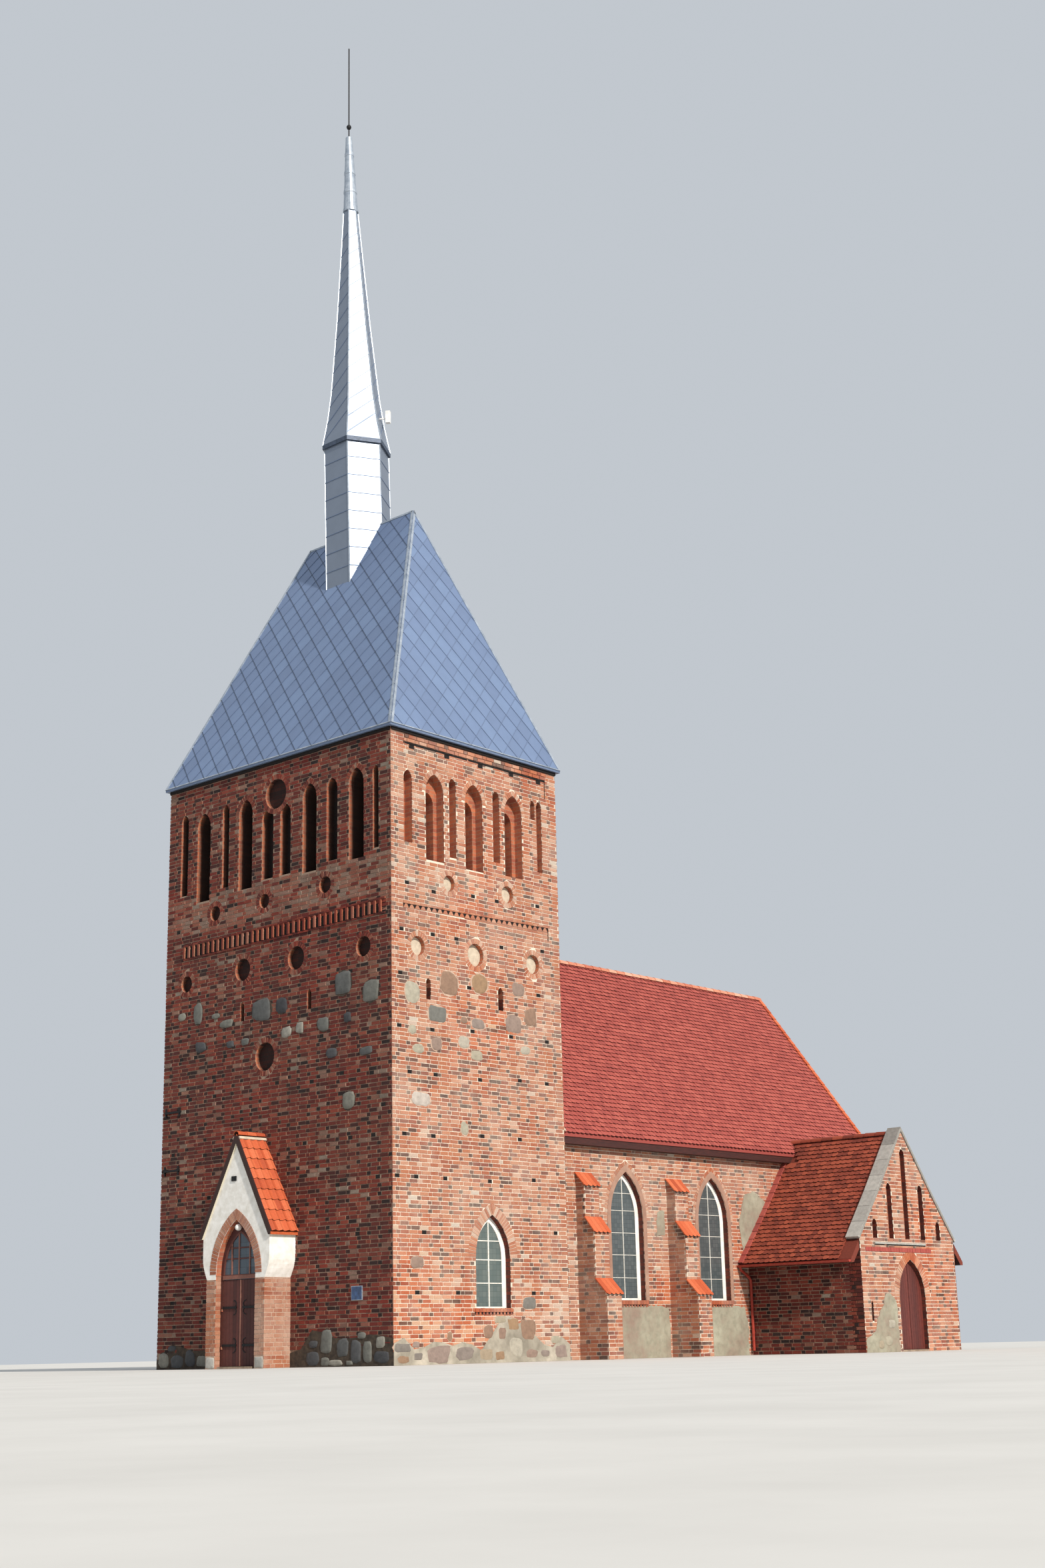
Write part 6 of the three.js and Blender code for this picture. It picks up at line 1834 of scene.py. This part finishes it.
def door_frame():
    """The wood between the recess and the door, with the fanlight's bars."""
    pile = Pile()
    recess_half, spring, recess_top = PORCH_RECESS
    half, _, top = PORCH_DOOR
    outer = arch_outline(PORCH_X, recess_half - 0.003, 0.02, spring, recess_top - 0.005)
    inner = arch_outline(PORCH_X, half + 0.003, 0.03, spring, top + 0.003)
    pile.band(porch_door_face, outer, inner, 0.008, -0.002, 0.3)
    arch = ArchCut(PORCH_X, half - 0.01, TRANSOM_Z, top - 0.01, spring)
    for u in FANLIGHT_BARS:
        a, b = PORCH_X + u - FANLIGHT_BAR_HALF, PORCH_X + u + FANLIGHT_BAR_HALF
        pile.block(porch_door_face, a, b, TRANSOM_Z, arch.crown_at(u), 0.012, -0.012, 0.9)
    for v in FANLIGHT_LEVELS:
        reach = arch.half_at(v)
        low, high = v - FANLIGHT_RAIL_HALF, v + FANLIGHT_RAIL_HALF
        pile.block(porch_door_face, PORCH_X - reach, PORCH_X + reach, low, high, 0.01, -0.012)
    a, b = PORCH_X - half + 0.003, PORCH_X + half - 0.003
    pile.block(porch_door_face, a, b, TRANSOM_FOOT, TRANSOM_Z + 0.02, 0.026, 0.0, 0.85)
    pile.band(porch_door_face, arch_outline(PORCH_X, half - 0.002, TRANSOM_Z, spring, top - 0.004),
              arch_outline(PORCH_X, half - 0.05, TRANSOM_Z + 0.04, spring, top - 0.055), 0.014, -0.012, 0.7)
    pile.build("frame_porch", "old_wood")


porch_bricks()
door_frame()


# Door leaves: boards, a strip over the porch leaves' joint, and straps that end in two curls
LEAF_GAP = 0.012
LEAF_INSET = 0.006
STRAP_HALF = 0.028
STRAP_PROUD = 0.032
STRAP_HEIGHTS = (0.55, 1.45)
# Where a strap starts and ends, out from the middle of the door
STRAP_ROOT = 0.63
STRAP_TIP = 0.12
CURL_STEPS = 8
# A curl's radius up the door, where it starts back from the strap's tip, its reach towards the tip, its turn
CURL_RADIUS = 0.086
CURL_ROOT = 0.13
CURL_REACH = 0.12
CURL_TURN = math.pi * 0.95
# Where the porch leaves' boards end, out from the middle, and the boards of each leaf
PORCH_LEAF_EDGE = 0.638
PORCH_BOARDS = 5
CHAPEL_BOARDS = 6
BOARD_GAP = 0.003
BOARD_PROUD = 0.007
# The strip over the joint of the porch's leaves, out from the middle
STRIP = (0.004, 0.044)
STRIP_PROUD = 0.018


def door_boards(name, body, plane, ends, head, bottom, look, boards):
    """Upright boards on a door leaf."""
    pile = Pile()
    step = (ends[1] - ends[0]) / boards
    for i in range(boards):
        a, b = ends[0] + i * step + BOARD_GAP, ends[0] + (i + 1) * step - BOARD_GAP
        outline = [(a, bottom), (b, bottom), (b, head(b)), (a, head(a))]
        pile.prism(plane, outline, BOARD_PROUD, -0.002, draw.uniform(0.0, 0.6))
    pile.build(name, look, body)


def scroll_strap(pile, side, v):
    root, tip = PORCH_X + side * STRAP_ROOT, PORCH_X + side * STRAP_TIP
    left, right = sorted((root, tip))
    pile.block(porch_door_face, left, right, v - STRAP_HALF, v + STRAP_HALF, STRAP_PROUD, 0.0)
    for turn in (-1, 1):
        points = []
        for i in range(CURL_STEPS + 1):
            angle = CURL_TURN * i / CURL_STEPS
            across = tip + side * (CURL_ROOT - CURL_REACH * math.sin(angle))
            up = v + turn * CURL_RADIUS * (1 - math.cos(angle))
            points.append(porch_door_face.at(across, up, 0.006))
        for start, end in zip(points, points[1:]):
            pile.bar(start, end, porch_door_face.normal, 0.022, 0.01, 0.004)


for side, label in ((1, "south"), (-1, "north")):
    low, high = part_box("porch_door_" + label)
    bottom, top = low.z + LEAF_INSET, high.z - LEAF_INSET
    body = f"porch_{label}_leaf"
    ends = sorted((PORCH_X + side * LEAF_GAP, PORCH_X + side * PORCH_LEAF_EDGE))
    door_boards("boards_porch_" + label, body, porch_door_face, ends, lambda u: top, bottom, "old_wood",
                PORCH_BOARDS)
    if side > 0:
        strip = Pile()
        a, b = (PORCH_X + out for out in STRIP)
        strip.block(porch_door_face, a, b, bottom, top, STRIP_PROUD, 0.004, 1.0)
        strip.build("strip_porch_south", "old_wood", body)
    straps = Pile()
    for v in STRAP_HEIGHTS:
        scroll_strap(straps, side, v)
    straps.build("straps_porch_" + label, "dark_iron", body)

middle, half, bottom, top, spring = CHAPEL_LEAF_ARCH
chapel_leaf = ArchCut(middle, half, bottom, top, spring)
chapel_door_face = face_x(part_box("chapel_door_west")[1].x)
for side, label in ((-1, "west"), (1, "east")):
    ends = sorted((middle + side * LEAF_GAP, middle + side * (half - LEAF_INSET)))
    door_boards("boards_chapel_" + label, f"chapel_{label}_leaf", chapel_door_face, ends,
                lambda u: chapel_leaf.crown_at(u - middle) - LEAF_INSET, bottom + LEAF_INSET, "door_red",
                CHAPEL_BOARDS)


# Small metal fittings and the bare board on the west face: the clamps' heights, ends and uprights
CLAMP_HEIGHTS = (6.57, 5.04)
CLAMP = (-4.23, -3.6)
CLAMP_UPRIGHTS = (-4.2, -3.65)
PORCH_FITTING = (-0.19, -0.01, 4.5, 4.62)
BOARD_EDGE = 0.015

fittings = Pile()
for v in CLAMP_HEIGHTS:
    fittings.block(tower_west, *CLAMP, v - 0.025, v + 0.025, 0.06)
    for u in CLAMP_UPRIGHTS:
        fittings.block(tower_west, u - 0.02, u + 0.02, v - 0.12, v + 0.12, 0.05)
a, b, low, high = PORCH_FITTING
fittings.block(porch_west, PORCH_X + a, PORCH_X + b, low, high, 0.02, -0.002)
fittings.build("fittings_west", "dark_iron")
board = Pile()
low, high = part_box("wall_plaque")
board.block(face_y(low.y), low.x + BOARD_EDGE, high.x - BOARD_EDGE, low.z + BOARD_EDGE, high.z - BOARD_EDGE,
            0.006, -0.002)
board.build("board_face", "board_blue")


# Chapel gable: coping slabs, the ledge under its niches and the red course below
SLAB_LENGTH = 0.62
SLAB_TOP = 0.082
SLAB_FOOT = 0.03
SLAB_GAP = 0.006
LEDGE_PROUD = 0.036
LEDGE_HEIGHT = 0.05
LEDGE_SHADOW = 0.03
RED_COURSE_PROUD = 0.022
LEDGE = (12.33, 15.04)
LEDGE_Z = 2.93
RED_COURSE = (11.84, 15.24)
RED_COURSE_Z = (2.72, 2.84)

slabs = Pile()
rake = [(CHAPEL_HALF_Y + 0.04, KNEELER_Z - 0.047), (CHAPEL_KINK_OUT, CHAPEL_KINK_Z + GABLE_RISE),
        (0.0, CHAPEL_RIDGE_Z + GABLE_RISE)]
for side in (-1, 1):
    for plane, length, *_ in chapel_slopes(side, rake):
        count = max(2, round(length / SLAB_LENGTH))
        step = length / count
        for i in range(count):
            low, high = i * step + SLAB_GAP, (i + 1) * step - SLAB_GAP
            slabs.block(plane, CHAPEL_GABLE_X + GAP, CHAPEL_FACE_X + LEDGE_PROUD, low, high, SLAB_TOP,
                        SLAB_FOOT, draw.random())
slabs.build("coping_slabs", "coping_stone")
ledge, red_course = Pile(), Pile()
ledge.block(chapel_south, *LEDGE, LEDGE_Z, LEDGE_Z + LEDGE_HEIGHT, LEDGE_PROUD)
dark.block(chapel_south, *LEDGE, LEDGE_Z - LEDGE_SHADOW, LEDGE_Z, SHADOW_PROUD)
u, end = RED_COURSE
while u < end:
    red_course.block(chapel_south, u + GAP, u + HEADER - GAP, *RED_COURSE_Z,
                     uneven(RED_COURSE_PROUD, SMOOTH_TILT), tone=draw.uniform(0.25, 0.55))
    u += HEADER
ledge.build("ledge_chapel", "coping_stone")
red_course.build("course_chapel", "red_tile")
dark.build("painted_shadows", "hole_dark")


# Floor, light and camera
FLOOR_HALF = 120.0
FLOOR_GAP = 0.002
SKY_COLOUR = "E3EAF2"
SKY_STRENGTH = 0.7
SUN_TRAVEL = (-0.822, 0.190, -0.537)
SUN_ENERGY = 4.2
SUN_ANGLE = math.radians(2.5)
SUN_COLOUR = (1.0, 0.94, 0.86)
CAMERA_PLACE = (39.031, -37.319, 0.30)
CAMERA_AZIMUTH = math.radians(41.533)
CAMERA_ELEVATION = math.radians(-15.646)
CAMERA_ROLL = math.radians(-1.324)
CAMERA_LENS = 46.336
CAMERA_SENSOR = 36.0
CAMERA_REACH = 500


def add_object(name, data):
    added = bpy.data.objects.new(name, data)
    bpy.context.scene.collection.objects.link(added)
    return added


def floor():
    corners = [(x * FLOOR_HALF, y * FLOOR_HALF, 0) for x, y in ((-1, -1), (1, -1), (1, 1), (-1, 1))]
    mesh = bpy.data.meshes.new("floor")
    mesh.from_pydata(corners, [], [[0, 1, 2, 3]])
    mesh.materials.append(looks["floor"])
    plane = add_object("floor", mesh)
    plane.location.z = -FLOOR_GAP


def light():
    sky = bpy.data.worlds.new("studio")
    bpy.context.scene.world = sky
    sky.use_nodes = True
    back = sky.node_tree.nodes["Background"]
    back.inputs["Color"].default_value = srgb(SKY_COLOUR)
    back.inputs["Strength"].default_value = SKY_STRENGTH
    lamp = bpy.data.lights.new("sun", "SUN")
    lamp.energy = SUN_ENERGY
    lamp.angle = SUN_ANGLE
    lamp.color = SUN_COLOUR
    add_object("sun", lamp).rotation_euler = Vector(SUN_TRAVEL).to_track_quat("-Z", "Y").to_euler()


def camera():
    data = bpy.data.cameras.new("camera")
    data.sensor_fit = "VERTICAL"
    data.sensor_height = CAMERA_SENSOR
    data.lens = CAMERA_LENS
    data.clip_end = CAMERA_REACH
    back = Vector((math.sin(CAMERA_AZIMUTH) * math.cos(CAMERA_ELEVATION),
                   -math.cos(CAMERA_AZIMUTH) * math.cos(CAMERA_ELEVATION), math.sin(CAMERA_ELEVATION)))
    right = (-back).cross(Vector((0, 0, 1))).normalized()
    up = right.cross(-back)
    c, s = math.cos(CAMERA_ROLL), math.sin(CAMERA_ROLL)
    matrix = Matrix((c * right + s * up, -s * right + c * up, back)).transposed().to_4x4()
    matrix.translation = Vector(CAMERA_PLACE)
    eye = add_object("camera", data)
    eye.matrix_world = matrix
    bpy.context.scene.camera = eye


floor()
light()
camera()
bpy.context.scene.view_settings.view_transform = "Standard"
